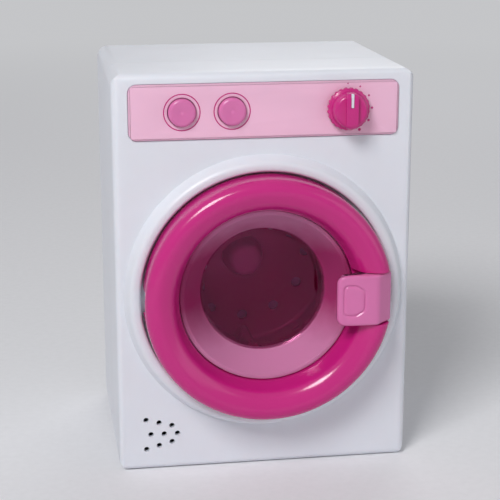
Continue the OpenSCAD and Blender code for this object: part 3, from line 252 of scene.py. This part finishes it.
def styrene(name, deep_hex, painted_light_hex, transmission, roughness, depth_mm):
    """Tinted polystyrene with moulding waves, painted light low and high, and deep tint between."""
    deep, pale = linear(deep_hex), linear(painted_light_hex)
    material, tree, place = blank_material(name)
    wave = add(tree, "TexNoise", {"Scale": per_metre(melt_mm), "Detail": 2.0}, {"Vector": place})
    up = add(tree, "SeparateXYZ", {}, {0: place})
    height = add(tree, "MapRange", {
        "From Min": door_axis[1] - window_r, "From Max": door_axis[1] + window_r},
        {"Value": up.outputs["Z"]})
    drift = add(tree, "MapRange", {"To Min": -melt_drift, "To Max": melt_drift}, {
        "Value": wave.outputs["Fac"]})
    uneven = add(tree, "Math", {"operation": "ADD"}, {
        0: height.outputs["Result"], 1: drift.outputs["Result"]})
    # this ramp paints light: pale at the bottom and top of the window, the plastic's deep tint
    # between
    tint = add(tree, "ValToRGB", {"stops": [
        (painted_crescent_full, pale), (deep_from, deep), (deep_to, deep), (painted_arc_full, pale)]},
        {"Fac": uneven.outputs[0]})
    rise = add(tree, "Bump", {"Distance": depth_mm * mm, "Strength": gentle}, {
        "Height": wave.outputs["Fac"]})
    shader = add(tree, "BsdfPrincipled", {
        "IOR": 1.59, "Roughness": roughness, "Transmission Weight": transmission,
        "Specular Tint": highlight},
        {"Base Color": tint.outputs["Color"], "Normal": rise.outputs[0]})
    add(tree, "OutputMaterial", {}, {"Surface": shader.outputs[0]})
    return material


# in both finishes the second colour is painted light at the window's bottom and top, the first the
# plastic's own tint
styrene_clear = styrene("polystyrene_clear_pink_painted_light", "#ee9cca", "#f4acd4", 1.0, 0.02, 0.02)
styrene_frosted = styrene("polystyrene_frosted_pink_painted_light", "#cc4a8c", "#ffaede", 0.52, 0.14, 0.03)
print("window materials:", styrene_clear.name, styrene_frosted.name)

# %% [markdown]
# ## Metals, board and leads
# Screws are zinc plated: a bluish grey with the soft blotches of the plating. Springs and contacts
# are nickel plated and brighter. The shaft's bush is sintered bronze, dull and porous. The circuit
# board is glass-epoxy laminate under green solder mask, with its copper tracks showing as slightly
# raised, lighter lines. The leads are tinned wire in soft PVC.

# %% Metals
blotch_dark = 0.82
gloss_low, gloss_high = 0.7, 1.4
plated_edge_mm = 0.1


def plated(name, hex_colour, roughness, blotch_mm, depth_mm):
    """Plated or sintered metal with blotches in its gloss."""
    colour = linear(hex_colour)
    material, tree, place = blank_material(name)
    blotch = add(tree, "TexNoise", {
        "Scale": per_metre(blotch_mm), "Detail": 4.0}, {"Vector": place})
    tint = add(tree, "ValToRGB", {"stops": [
        (noise_low, scaled(colour, blotch_dark)), (noise_high, colour)]},
        {"Fac": blotch.outputs["Fac"]})
    gloss = add(tree, "MapRange", {
        "To Min": roughness * gloss_low, "To Max": roughness * gloss_high},
        {"Value": blotch.outputs["Fac"]})
    edge = add(tree, "Bevel", {"Radius": plated_edge_mm * mm, "samples": 4})
    pits = add(tree, "Bump", {"Distance": depth_mm * mm, "Strength": gentle}, {
        "Height": blotch.outputs["Fac"], "Normal": edge.outputs[0]})
    shader = add(tree, "BsdfPrincipled", {"Metallic": 1.0}, {
        "Base Color": tint.outputs["Color"], "Roughness": gloss.outputs["Result"],
        "Normal": pits.outputs[0]})
    add(tree, "OutputMaterial", {}, {"Surface": shader.outputs[0]})
    return material


zinc = plated("steel_zinc_plated", "#c3c7cd", 0.32, 1.2, 0.01)
nickel = plated("steel_nickel_plated", "#d5d2cb", 0.20, 2.0, 0.005)
bronze = plated("bronze_sintered", "#c09a55", 0.42, 0.4, 0.02)
print("metals:", zinc.name, nickel.name, bronze.name)


# %% Circuit board, resin, paper, cell jackets and leads
pattern_low, pattern_high = 0.42, 0.55
track_mm, bands = 2.5, 6  # a wave texture draws about six bands to a unit of its scale


def patterned(name, pattern, settings, low_hex, high_hex, roughness, depth_mm, ior):
    """A surface whose colour and height both follow one texture."""
    material, tree, place = blank_material(name)
    height = add(tree, pattern, settings, {"Vector": place}).outputs["Fac"]
    tint = add(tree, "ValToRGB", {"stops": [
        (pattern_low, linear(low_hex)), (pattern_high, linear(high_hex))]}, {"Fac": height})
    rise = add(tree, "Bump", {"Distance": depth_mm * mm, "Strength": firm}, {"Height": height})
    shader = add(tree, "BsdfPrincipled", {"Roughness": roughness, "IOR": ior}, {
        "Base Color": tint.outputs["Color"], "Normal": rise.outputs[0]})
    add(tree, "OutputMaterial", {}, {"Surface": shader.outputs[0]})
    return material


laminate = patterned("laminate_green_solder_mask", "TexWave", {
    "Scale": per_metre(track_mm * bands), "Distortion": 9.0, "Detail": 0.0, "wave_profile": "SIN"},
    "#1f5f3d", "#3a8a5c", 0.28, 0.03, 1.52)
resin = patterned("epoxy_black", "TexNoise", {"Scale": per_metre(1.5), "Detail": 3.0},
                  "#141417", "#232327", 0.22, 0.05, 1.55)
paper = patterned("paper_cone_black", "TexNoise", {"Scale": per_metre(0.5), "Detail": 4.0},
                  "#1d1d1f", "#38383b", 0.85, 0.06, 1.45)
jacket = patterned("film_blue_cell_jacket", "TexNoise", {"Scale": per_metre(20), "Detail": 1.0},
                   "#2d5fa6", "#3a70b8", 0.18, 0.01, 1.50)
vinyl_red = patterned("PVC_red_lead", "TexNoise", {"Scale": per_metre(2.0), "Detail": 2.0},
                      "#a81f24", "#c02c30", 0.35, 0.02, 1.53)
vinyl_black = patterned("PVC_black_lead", "TexNoise", {"Scale": per_metre(2.0), "Detail": 2.0},
                        "#18181a", "#2a2a2d", 0.35, 0.02, 1.53)
print("materials made:", len(bpy.data.materials))

# %% [markdown]
# ## Finishes for the model's own pieces
# Most pieces keep their modelled shape and only take a finish. The model stores each curved face
# apart from its neighbours, so one geometry-nodes modifier joins the faces, and another smooths the
# shading across gentle bends and keeps it sharp at edges. On the control fascia, the battery cover
# and the door's back two modifiers in between merge the flat triangles and round every edge by a
# fraction of a millimetre, because a mould's edges are never knife sharp and the thin highlight
# along them is what makes plastic look real. None of them moves the model's own vertices.

# %% Modifiers for joining and shading
crease, flat_angle = math.radians(30), math.radians(0.3)
weld_distance = 0.001 * mm
edge_segments = 3


def node_group(name, build):
    """A geometry-nodes group with one geometry going in and one coming out."""
    group = bpy.data.node_groups.new(name, "GeometryNodeTree")
    for way in ("INPUT", "OUTPUT"):
        group.interface.new_socket("Geometry", in_out=way, socket_type="NodeSocketGeometry")
    source = group.nodes.new("NodeGroupInput").outputs[0]
    target = group.nodes.new("NodeGroupOutput").inputs[0]
    group.links.new(build(group, source), target)
    return group


def join_faces(group, geometry):
    """Merges the vertices that neighbouring faces share."""
    merge = group.nodes.new("GeometryNodeMergeByDistance")
    merge.inputs["Distance"].default_value = weld_distance
    group.links.new(geometry, merge.inputs["Geometry"])
    return merge.outputs[0]


def shade_faces(group, geometry):
    """Shades faces smoothly, except across edges sharper than the crease."""
    smooth = group.nodes.new("GeometryNodeSetShadeSmooth")
    sharp = group.nodes.new("GeometryNodeSetShadeSmooth")
    sharp.domain = "EDGE"
    sharp.inputs["Shade Smooth"].default_value = False
    angle = group.nodes.new("GeometryNodeInputMeshEdgeAngle")
    compare = group.nodes.new("FunctionNodeCompare")
    compare.operation = "GREATER_THAN"
    compare.inputs[1].default_value = crease
    group.links.new(geometry, smooth.inputs["Geometry"])
    group.links.new(smooth.outputs[0], sharp.inputs["Geometry"])
    group.links.new(angle.outputs[0], compare.inputs[0])
    group.links.new(compare.outputs[0], sharp.inputs["Selection"])
    return sharp.outputs[0]


joined = node_group("joined_faces", join_faces)
shaded = node_group("soft_shading", shade_faces)
print("node groups:", joined.name, shaded.name)


def softened(thing, radius_mm=0.0):
    """Joins and shades a piece, with its edges rounded if a radius is given."""
    thing.modifiers.new("join", "NODES").node_group = joined
    if radius_mm:
        flat = thing.modifiers.new("flat", "DECIMATE")
        flat.decimate_type, flat.angle_limit = "DISSOLVE", flat_angle
        edge = thing.modifiers.new("edge", "BEVEL")
        edge.width, edge.segments, edge.limit_method = radius_mm * mm, edge_segments, "ANGLE"
        edge.angle_limit, edge.use_clamp_overlap = crease, False
        edge.miter_outer = "MITER_ARC"
    thing.modifiers.new("shade", "NODES").node_group = shaded


# %% Finishes
finishes = {
    abs_white: ["front_shell", "rear_shell", "battery_cover"],
    abs_magenta: ["door_ring", "door_back", "programme_dial", "drum"],
    abs_pink: ["door_handle", "left_button", "right_button"],
    abs_pale_pink: ["control_fascia", "drum_cap"],
    abs_grey: ["tub", "gearbox_base", "gearbox_cover"],
    acetal_cream: ["drum_gear", "idler_near_drum", "idler_near_motor", "motor_pinion"],
    nylon_black: ["rotary_switch"],
    nylon_white: ["motor_end_cap"],
    silicone_grey: ["keypad"],
    styrene_clear: ["door_window"],
    zinc: ["case_screws", "board_screws", "tub_screws", "gearbox_screws", "door_screws",
           "cover_screws", "catch_screw", "gear_pins", "drum_shaft", "motor_shaft", "motor_can",
           "door_hinge_pin", "handle_pin", "speaker"],
    nickel: ["handle_spring", "door_catch", "battery_springs", "battery_plates"],
    bronze: ["shaft_bush"],
    laminate: ["circuit_board"],
    resin: ["board_components"],
    paper: ["speaker_cone"],
    jacket: ["battery_cells"],
    vinyl_red: ["motor_leads", "battery_leads"],
    vinyl_black: ["speaker_leads"],
}
edge_radii_mm = {"control_fascia": 0.15, "battery_cover": 0.3, "door_back": 0.25}
for material, names in finishes.items():
    for name in names:
        nodes[name].data.materials.clear()
        nodes[name].data.materials.append(material)
        softened(nodes[name], edge_radii_mm.get(name, 0.0))
print("finished:", sum(len(names) for names in finishes.values()), "of", len(nodes))

# %% [markdown]
# ## Window bowl
# The bowl is a body of revolution, like a shallow pan let into the door. In modelling it could be a
# modified cylinder, but turning its section about the door's axis says exactly what it is, and
# gives even quads all round. One function rounds a section's corners and another turns it. The
# bowl's wall takes the frosted plastic and the rest the clear one.

# %% Turning a section
on_axis = 0.001  # a smaller radius is a single point on the axis


def rounded(corners, steps=6):
    """The points of a closed outline, with each (u, v, radius) corner drawn as a soft bend."""
    points = []
    for k, (u, v, radius) in enumerate(corners):
        corner = Vector((u, v))
        if not radius:
            points.append(corner)
            continue
        before = Vector(corners[k - 1][:2]) - corner
        after = Vector(corners[(k + 1) % len(corners)][:2]) - corner
        reach = radius / math.tan(before.angle(after) / 2)
        first, last = corner + before.normalized() * reach, corner + after.normalized() * reach
        for i in range(steps + 1):
            t = i / steps
            points.append(first.lerp(corner, t).lerp(corner.lerp(last, t), t))
    return points


def mesh_data(name, mesh):
    """Turns a bmesh into mesh data with its normals outward."""
    bmesh.ops.recalc_face_normals(mesh, faces=mesh.faces)
    data = bpy.data.meshes.new(name)
    mesh.to_mesh(data)
    mesh.free()
    return data


def turned(name, section, centre, turns, finish=lambda radius: 0):
    """Turns a closed (radius, depth) section, in millimetres, about a line through the centre."""
    mesh = bmesh.new()
    loops = []
    for radius, depth in section:
        y = front_face + depth * mm
        if radius < on_axis:
            loops.append([mesh.verts.new((centre[0], y, centre[1]))] * turns)
            continue
        around = [2 * math.pi * i / turns for i in range(turns)]
        loops.append([mesh.verts.new((centre[0] + radius * mm * math.cos(a), y,
                                      centre[1] + radius * mm * math.sin(a))) for a in around])
    for k, loop in enumerate(loops):
        following = loops[(k + 1) % len(loops)]
        middle_radius = (section[k][0] + section[(k + 1) % len(section)][0]) / 2
        for i in range(turns):
            j = (i + 1) % turns
            corners = list(dict.fromkeys((loop[i], loop[j], following[j], following[i])))
            if len(corners) > 2:
                mesh.faces.new(corners).material_index = finish(middle_radius)
    return mesh_data(name, mesh)


def made_piece(name, data, body, slot, *materials):
    """Makes a mesh an object that moves with a body and takes its finish."""
    thing = bpy.data.objects.new(name, data)
    bpy.context.scene.collection.objects.link(thing)
    for material in materials:
        data.materials.append(material)
    thing.modifiers.new("shade", "NODES").node_group = shaded
    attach(thing, body)
    return thing


# %% Window bowl
bowl_wall = 1.6
flange_w, floor_in = 1.85, 11  # how far the rim and the floor lie inside the flange's edge
flange_back, bowl_depth = 0.7, 10.6  # how far the flange and the floor lie behind the rim
floor_dome = 0.6
neck_in, heel_out = 0.9, 1.2  # the wall behind leans a little more than the one in front
rim_bend, floor_bend, flange_bend, neck_bend, heel_bend = 0.5, 4, 0.2, 0.8, 4.6

flange_r = (window_high.x - window_low.x) / 2 / mm
rim_r = flange_r - flange_w
floor_r = flange_r - floor_in
rim_d = (window_low.y - front_face) / mm
floor_d = rim_d + bowl_depth
flange_d = rim_d + flange_back
frost_from, frost_to = floor_r + 0.4, rim_r + 0.1


def frosted(radius):
    """Whether a face lies on the bowl's wall, which takes the second finish."""
    return frost_from < radius < frost_to


bowl_section = rounded([
    (0, floor_d - floor_dome, 0), (floor_r, floor_d, floor_bend),
    (rim_r - bowl_wall, rim_d, rim_bend), (rim_r, rim_d, rim_bend),
    (rim_r, flange_d, 0), (flange_r, flange_d, 0),
    (flange_r, flange_d + bowl_wall, flange_bend),
    (rim_r - neck_in, flange_d + bowl_wall, neck_bend),
    (floor_r + heel_out, floor_d + bowl_wall, heel_bend),
    (0, floor_d + bowl_wall - floor_dome, 0)], steps=8)
bowl_mesh = turned("window_bowl", bowl_section, door_axis, turns=192, finish=frosted)
bowl = made_piece("window_bowl", bowl_mesh, "door", "pink_clear_styrene",
                  styrene_clear, styrene_frosted)
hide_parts("door_window")
print("window bowl:", len(bowl.data.polygons), "faces")

# %% [markdown]
# ## Throat liner
# Behind the window the casing's throat narrows to the drum in a white funnel. Seen from a little
# above, its lower half lies behind the bowl's wall and is lit through it, so it brightens the pale
# pink crescent at the bottom of the window. It is a thin moulding pressed into the throat, turned
# about the same axis, and it keeps clear of the space that the clothes go into.

# %% Throat liner
liner_t, liner_taper = 1.0, 0.1
liner_front_r, liner_back_r = flange_r + 0.1, flange_r - 4.8
liner_front_d, liner_back_d = 0.6, 13.8
collar, shoulder, heel = 1.6, 2.4, 1.4  # straight ends: inside, outside at the front and back
collar_bend, slope_bend, end_bend = 2, 1, 0.3

liner_section = rounded([
    (liner_front_r, liner_front_d, 0), (liner_front_r, liner_front_d + collar, collar_bend),
    (liner_back_r, liner_back_d - collar, slope_bend), (liner_back_r, liner_back_d, end_bend),
    (liner_back_r + liner_t, liner_back_d, end_bend),
    (liner_back_r + liner_t + liner_taper, liner_back_d - heel, slope_bend),
    (liner_front_r + liner_t, liner_front_d + shoulder, slope_bend),
    (liner_front_r + liner_t, liner_front_d, 0)])
liner_mesh = turned("throat_liner", liner_section, door_axis, turns=160)
liner = made_piece("throat_liner", liner_mesh, "cabinet", "white_abs", abs_white)
print("throat liner:", len(liner.data.polygons), "faces")

# %% [markdown]
# ## Door handle
# The handle is a small glossy tab that turns on a pin inside the ring, with a D-shaped thumb mark
# sunk into its face and a hook behind it that holds the door shut. It is drawn as a section in plan
# and lofted upwards. Near the top and the bottom the section shrinks along a quarter circle, which
# gives the tab its soft cushioned edge. The thumb mark is pressed into the same mesh, so it is a
# real groove that catches light, and not a picture of one. The barrel round the pin and the hook
# are joined to the tab with a boolean, so that the handle is one skin, as it comes from its mould.

# %% Lofting a section
def split_fine(points, step):
    """The same closed outline, with no side longer than the step."""
    fine = []
    for here, there in zip(points, points[1:] + points[:1]):
        pieces = max(1, round((there - here).length / step))
        fine += [here.lerp(there, i / pieces) for i in range(pieces)]
    return fine


def inward_normals(points):
    """A unit vector at each point of a closed outline, towards its inside."""
    area = sum(a.x * b.y - b.x * a.y for a, b in zip(points, points[1:] + points[:1]))
    normals = []
    for before, after in zip(points[-1:] + points[:-1], points[1:] + points[:1]):
        along = (after - before).normalized()
        normals.append(Vector((-along.y, along.x)) * (1 if area > 0 else -1))
    return normals


def lofted(name, outline, half_height, edge, step, shaped=lambda x, depth, z: (x, depth)):
    """Lofts a plan outline upwards about the door's middle, rounded by edge at both ends."""
    points = split_fine(outline, step)
    normals = inward_normals(points)
    bends = 6
    turns = [edge * (1 - math.cos(math.pi / 2 * i / bends)) for i in range(bends)]
    straight = round(2 * (half_height - edge) / step)
    middle_part = [edge - half_height + 2 * (half_height - edge) * i / straight
                   for i in range(straight + 1)]
    heights = ([t - half_height for t in turns] + middle_part
               + [half_height - t for t in reversed(turns)])
    mesh = bmesh.new()
    loops = []
    for z in heights:
        left = max(0.0, edge - (half_height - abs(z)))
        inset = edge - math.sqrt(max(0.0, edge ** 2 - left ** 2))
        loop = []
        for point, normal in zip(points, normals):
            x, depth = shaped(*(point + normal * inset), z)
            loop.append(mesh.verts.new((
                door_axis[0] + x * mm, front_face + depth * mm, door_axis[1] + z * mm)))
        loops.append(loop)
    count = len(points)
    for low, high in zip(loops, loops[1:]):
        for i in range(count):
            j = (i + 1) % count
            mesh.faces.new((low[i], low[j], high[j], high[i]))
    mesh.faces.new(loops[0])
    mesh.faces.new(loops[-1])
    return mesh_data(name, mesh)


# %% Joining solids
def joined_solids(name, data, *others):
    """One skin round several overlapping solids, as a new mesh."""
    base = bpy.data.objects.new(name + "_base", data)
    tools = [bpy.data.objects.new(f"{name}_tool_{k}", other) for k, other in enumerate(others)]
    for thing in [base] + tools:
        bpy.context.scene.collection.objects.link(thing)
    for tool in tools:
        union = base.modifiers.new("union", "BOOLEAN")
        union.operation, union.solver, union.object = "UNION", "EXACT", tool
    bpy.context.view_layer.update()
    evaluated = base.evaluated_get(bpy.context.evaluated_depsgraph_get())
    result = bpy.data.meshes.new_from_object(evaluated)
    result.name = name
    for thing in [base] + tools:
        bpy.data.objects.remove(thing)
    return result


# %% Thumb mark
handle_tip = (handle_low.x - door_axis[0]) / mm
handle_end = (handle_high.x - door_axis[0]) / mm
handle_front = (handle_low.y - front_face) / mm
handle_half = (handle_high.z - handle_low.z) / 2 / mm

mark_left, mark_w, mark_h = 2.6, 7.6, 11.2
mark_depth, mark_half_w, mark_step = 0.5, 0.75, 0.4
mark_bend, mark_round = 1.6, 2.4  # the corners of the D's straight side, and of its round one
flat_share, side_share = 0.55, 1 / 3.1  # flat top to width, half the round side to height
mark_reach = 1  # no groove lies further than this outside the mark's outline

mark_x = handle_tip + mark_left
mark_flat, mark_right = mark_x + mark_w * flat_share, mark_x + mark_w
mark_top, mark_side = mark_h / 2, mark_h * side_share
mark_line = split_fine(rounded([
    (mark_x, -mark_top, mark_bend), (mark_flat, -mark_top, mark_round),
    (mark_right, -mark_side, mark_round), (mark_right, mark_side, mark_round),
    (mark_flat, mark_top, mark_round), (mark_x, mark_top, mark_bend)]), mark_step)
print("thumb mark:", len(mark_line), "points in its outline")


def thumb_groove(x, z):
    """How deep the thumb mark's groove is at a place on the tab's face."""
    beside = not mark_x - mark_reach < x < mark_right + mark_reach
    if beside or abs(z) > mark_top + mark_reach:
        return 0.0
    away = min((Vector((x, z)) - point).length for point in mark_line)
    return mark_depth * (1 + math.cos(math.pi * min(1.0, away / mark_half_w))) / 2


# %% Handle
corner_r, blend_length = 3.2, 7.0
face_depth, tab_t, tab_edge = 1.2, 3.2, 1.1
pin_x, pin_d = handle_end - 7.6, -9.5
barrel_r, barrel_in, barrel_sides = 2.5, 0.1, 40
small_edge = 0.3
# the tab's section: its free edge, its crowned face, its outer end and the web over the pin
edge_drop, crown_in, shoulder_in, flank_d = 0.5, 9, 6, 5.6
web_right, web_left, web_root, web_back = 2.2, 2.4, 4.2, 1


def tab_shape(x, depth, z):
    """Rounds the tab's two free corners and presses the thumb mark into its face."""
    over = max(0.0, abs(z) - (handle_half - corner_r))
    back = corner_r - math.sqrt(max(0.0, corner_r ** 2 - over ** 2))
    share = max(0.0, 1 - (x - handle_tip) / blend_length)
    x += back * share * share * (3 - 2 * share)
    if depth < handle_front + face_depth:
        depth += thumb_groove(x, z)
    return x, depth


tab_outline = rounded([
    (handle_tip, handle_front + tab_t, 1.2), (handle_tip, handle_front + edge_drop, 1.9),
    (handle_tip + crown_in, handle_front, 12), (handle_end - shoulder_in, handle_front, 3.5),
    (handle_end, handle_front + flank_d, 2), (handle_end, pin_d + 0.4, 0.8),
    (pin_x + web_right, pin_d + web_back, 0.8), (pin_x - web_left, pin_d + web_back, 0.8),
    (pin_x - web_root, handle_front + tab_t, 1.6)])
barrel_outline = [Vector((pin_x, pin_d)) + Vector((math.cos(a), math.sin(a))) * barrel_r
                  for a in (2 * math.pi * i / barrel_sides for i in range(barrel_sides))]

hook_x, hook_t, hook_half = pin_x + 2, 2.5, 3.0
hook_back, hook_root = hook_x + hook_t, pin_d + 0.5
nose, nose_t = 2.2, 1.6
nose_end = (handle_high.y - front_face) / mm
hook_outline = rounded([
    (hook_x, hook_root, 0), (hook_back, hook_root, 0), (hook_back, nose_end - nose_t, 0.3),
    (hook_back + nose, nose_end - nose_t, 0.3), (hook_back + 0.4, nose_end, 0.3),
    (hook_x, nose_end, 0.4)])
handle_skin = joined_solids(
    "handle_tab",
    lofted("tab", tab_outline, handle_half, tab_edge, step=0.3, shaped=tab_shape),
    lofted("barrel", barrel_outline, handle_half - barrel_in, small_edge, step=0.6),
    lofted("hook", hook_outline, hook_half, small_edge, step=1.0))
handle = made_piece("handle_tab", handle_skin, "handle", "pink_abs", abs_pink)
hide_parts("door_handle")
print("handle:", len(handle.data.polygons), "faces")

# %% [markdown]
# ## Dial pointer and printed marks
# The dial's pointer is a white bar pressed into the groove in its grip, so it is a piece of its own
# that turns with the dial. The marks round the dial are pad printed on the real toy: ink a few
# hundredths of a millimetre thick. Six dots grow with the programme's length and stand where the
# pointer can stop, and a thin ring goes round each button. They are thin closed solids, so they
# keep a clean edge at any distance. They hold no words.

# %% Thin solids on the panel
def flat_solid(mesh, outline, back, front):
    """Adds a closed solid from a front-view outline in millimetres, between two y places."""
    ends = [[mesh.verts.new((x * mm, y, z * mm)) for x, z in outline] for y in (back, front)]
    count = len(outline)
    for i in range(count):
        j = (i + 1) % count
        mesh.faces.new((ends[0][i], ends[0][j], ends[1][j], ends[1][i]))
    mesh.faces.new(ends[0])
    mesh.faces.new(ends[1])


def circle(x, z, radius, count=32):
    """A round outline in the front view, in millimetres."""
    return [(x + radius * math.cos(2 * math.pi * i / count),
             z + radius * math.sin(2 * math.pi * i / count)) for i in range(count)]


# %% Pointer
pointer_w, pointer_bend, pointer_gap = 1.0, 0.3, 0.1
pointer_front, pointer_back = 0.15, 1.0  # depths behind the front of the dial's grip
dial_middle = ((dial_low + dial_high) / 2).xz / mm
dial_r = (dial_high.x - dial_low.x) / 2 / mm

# the groove runs from a sixth to five sixths of the dial's radius
groove_start, groove_end = dial_r / 6, dial_r / 2 + dial_r / 3
left, right = dial_middle.x - pointer_w / 2, dial_middle.x + pointer_w / 2
low, high = dial_middle.y + groove_start + pointer_gap, dial_middle.y + (groove_end - pointer_gap)
pointer_outline = rounded([(left, low, pointer_bend), (right, low, pointer_bend),
                           (right, high, pointer_bend), (left, high, pointer_bend)])
pointer_mesh = bmesh.new()
flat_solid(pointer_mesh, [tuple(point) for point in pointer_outline],
           dial_low.y + pointer_back * mm, dial_low.y + pointer_front * mm)
made_piece("dial_pointer", mesh_data("dial_pointer", pointer_mesh), "dial", "white_abs", abs_white)
print("pointer length in mm:", round(high - low, 1))

# %% Printed marks
ink_t, ink_sunk = 0.04, 0.2
dots, dot_turn, dot_gap, dot_r, dot_growth = 6, 30, 1.3, 0.25, 0.06
button_ring_in, button_ring_out = 6.3, 6.7
panel_y = fascia_low.y

marks = bmesh.new()
for step in range(dots):
    angle = math.radians(90 - dot_turn * step)
    spot = dial_middle + Vector((math.cos(angle), math.sin(angle))) * (dial_r + dot_gap)
    flat_solid(marks, circle(spot.x, spot.y, dot_r + dot_growth * step),
               panel_y + ink_sunk * mm, panel_y - ink_t * mm)
panel_d = (panel_y - front_face) / mm
ink_back, ink_front = panel_d + ink_sunk, panel_d - ink_t
ring_section = [(button_ring_in, ink_back), (button_ring_in, ink_front),
                (button_ring_out, ink_front), (button_ring_out, ink_back)]
for button_low, button_high in button_boxes:
    middle_of_button = ((button_low + button_high) / 2).xz
    marks.from_mesh(turned("button_ring", ring_section, middle_of_button, turns=72))
printed = made_piece("panel_marks", mesh_data("panel_marks", marks), "cabinet", "magenta_abs",
                     abs_magenta)
print("printed marks:", len(printed.data.polygons), "faces")

# %% [markdown]
# ## Floor and backdrop
# The object stands on a pale paper floor that runs far out, so no edge of it shows from any side.
# Near the object the floor takes light and shadow as paper does. Further out it fades to one even
# pale tone, and the world behind has the same tone, so floor and background meet without a line.
# Only rays that are seen, directly or in gloss and clear plastic, meet it: it lights nothing.

# %% Which rays see the backdrop
backdrop_tone, backdrop_level = linear("#f3f4f7"), 0.62


def seen_rays(tree):
    """1 for the rays that reach the eye directly, off gloss or through clear plastic, else 0."""
    path = add(tree, "LightPath", {}).outputs
    direct = add(tree, "Math", {"operation": "MAXIMUM"}, {
        0: path["Is Camera Ray"], 1: path["Is Glossy Ray"]})
    seen = add(tree, "Math", {"operation": "MAXIMUM"}, {
        0: direct.outputs[0], 1: path["Is Transmission Ray"]})
    # a ray that has met a matt surface on its way carries light, and isn't seen
    unscattered = add(tree, "Math", {"operation": "LESS_THAN", 1: 0.5}, {
        0: path["Diffuse Depth"]})
    return add(tree, "Math", {"operation": "MULTIPLY"}, {
        0: seen.outputs[0], 1: unscattered.outputs[0]}).outputs[0]


# %% Floor
stage_r, stage_sides = 30.0, 96
fade_near, fade_far = 0.45, 1.4
speck_mm, paper_roughness = 3, 0.9

disc = bmesh.new()
bmesh.ops.create_circle(disc, cap_ends=True, segments=stage_sides, radius=stage_r)
floor_data = bpy.data.meshes.new("floor")
disc.to_mesh(floor_data)
disc.free()
floor = bpy.data.objects.new("floor", floor_data)
bpy.context.scene.collection.objects.link(floor)

floor_material, tree, place = blank_material("paper_backdrop")
speck = add(tree, "TexNoise", {"Scale": per_metre(speck_mm), "Detail": 2.0}, {"Vector": place})
tint = add(tree, "ValToRGB", {"stops": [
    (noise_low, linear("#e9e9ec")), (noise_high, linear("#ececef"))]},
    {"Fac": speck.outputs["Fac"]})
sheet = add(tree, "BsdfPrincipled", {"Roughness": paper_roughness}, {
    "Base Color": tint.outputs["Color"]})
away = add(tree, "VectorMath", {"operation": "LENGTH"}, {0: place}).outputs["Value"]
fade = add(tree, "MapRange", {
    "interpolation_type": "SMOOTHSTEP", "From Min": fade_near, "From Max": fade_far},
    {"Value": away})
share = add(tree, "Math", {"operation": "MULTIPLY"}, {
    0: fade.outputs["Result"], 1: seen_rays(tree)})
tone = add(tree, "Emission", {"Color": backdrop_tone, "Strength": backdrop_level})
blend = add(tree, "MixShader", {}, {
    0: share.outputs[0], 1: sheet.outputs[0], 2: tone.outputs[0]})
add(tree, "OutputMaterial", {}, {"Surface": blend.outputs[0]})
floor.data.materials.append(floor_material)
print("floor:", len(floor.data.polygons), "face, radius", stage_r, "m")

# %% [markdown]
# ## Lamps
# One large soft lamp at the upper left gives the broad highlights of the photograph, a weaker one
# at the right opens the shadows, one behind lifts the back, and a pale world fills in. The level
# is plain: a colour renders about as it is written.

# %% Lamps and world
ambient_level = 0.24


def soft_lamp(name, place, size, power):
    """A square area lamp that faces the object."""
    data = bpy.data.lights.new(name, "AREA")
    data.size, data.energy = size, power
    lamp = bpy.data.objects.new(name, data)
    bpy.context.scene.collection.objects.link(lamp)
    lamp.location = place
    lamp.rotation_euler = (middle - Vector(place)).to_track_quat("-Z", "Y").to_euler()


# where each lamp stands and how wide it is, in metres, and its power in watts
soft_lamp("key_lamp", (-0.60, -0.90, 1.05), 0.5, 13.5)
soft_lamp("fill_lamp", (1.0, -0.8, 0.45), 0.9, 1.6)
soft_lamp("back_lamp", (0.4, 1.1, 0.9), 0.7, 3.5)

world = bpy.data.worlds.new("studio")
bpy.context.scene.world = world
world.use_nodes = True
sky_tree = world.node_tree
sky_tree.nodes.clear()
level = add(sky_tree, "MapRange", {"To Min": ambient_level, "To Max": backdrop_level}, {
    "Value": seen_rays(sky_tree)})
sky = add(sky_tree, "Background", {"Color": backdrop_tone}, {"Strength": level.outputs["Result"]})
add(sky_tree, "OutputWorld", {}, {"Surface": sky.outputs[0]})
bpy.context.scene.view_settings.view_transform = "Standard"
print("lamps:", len(bpy.data.lights))
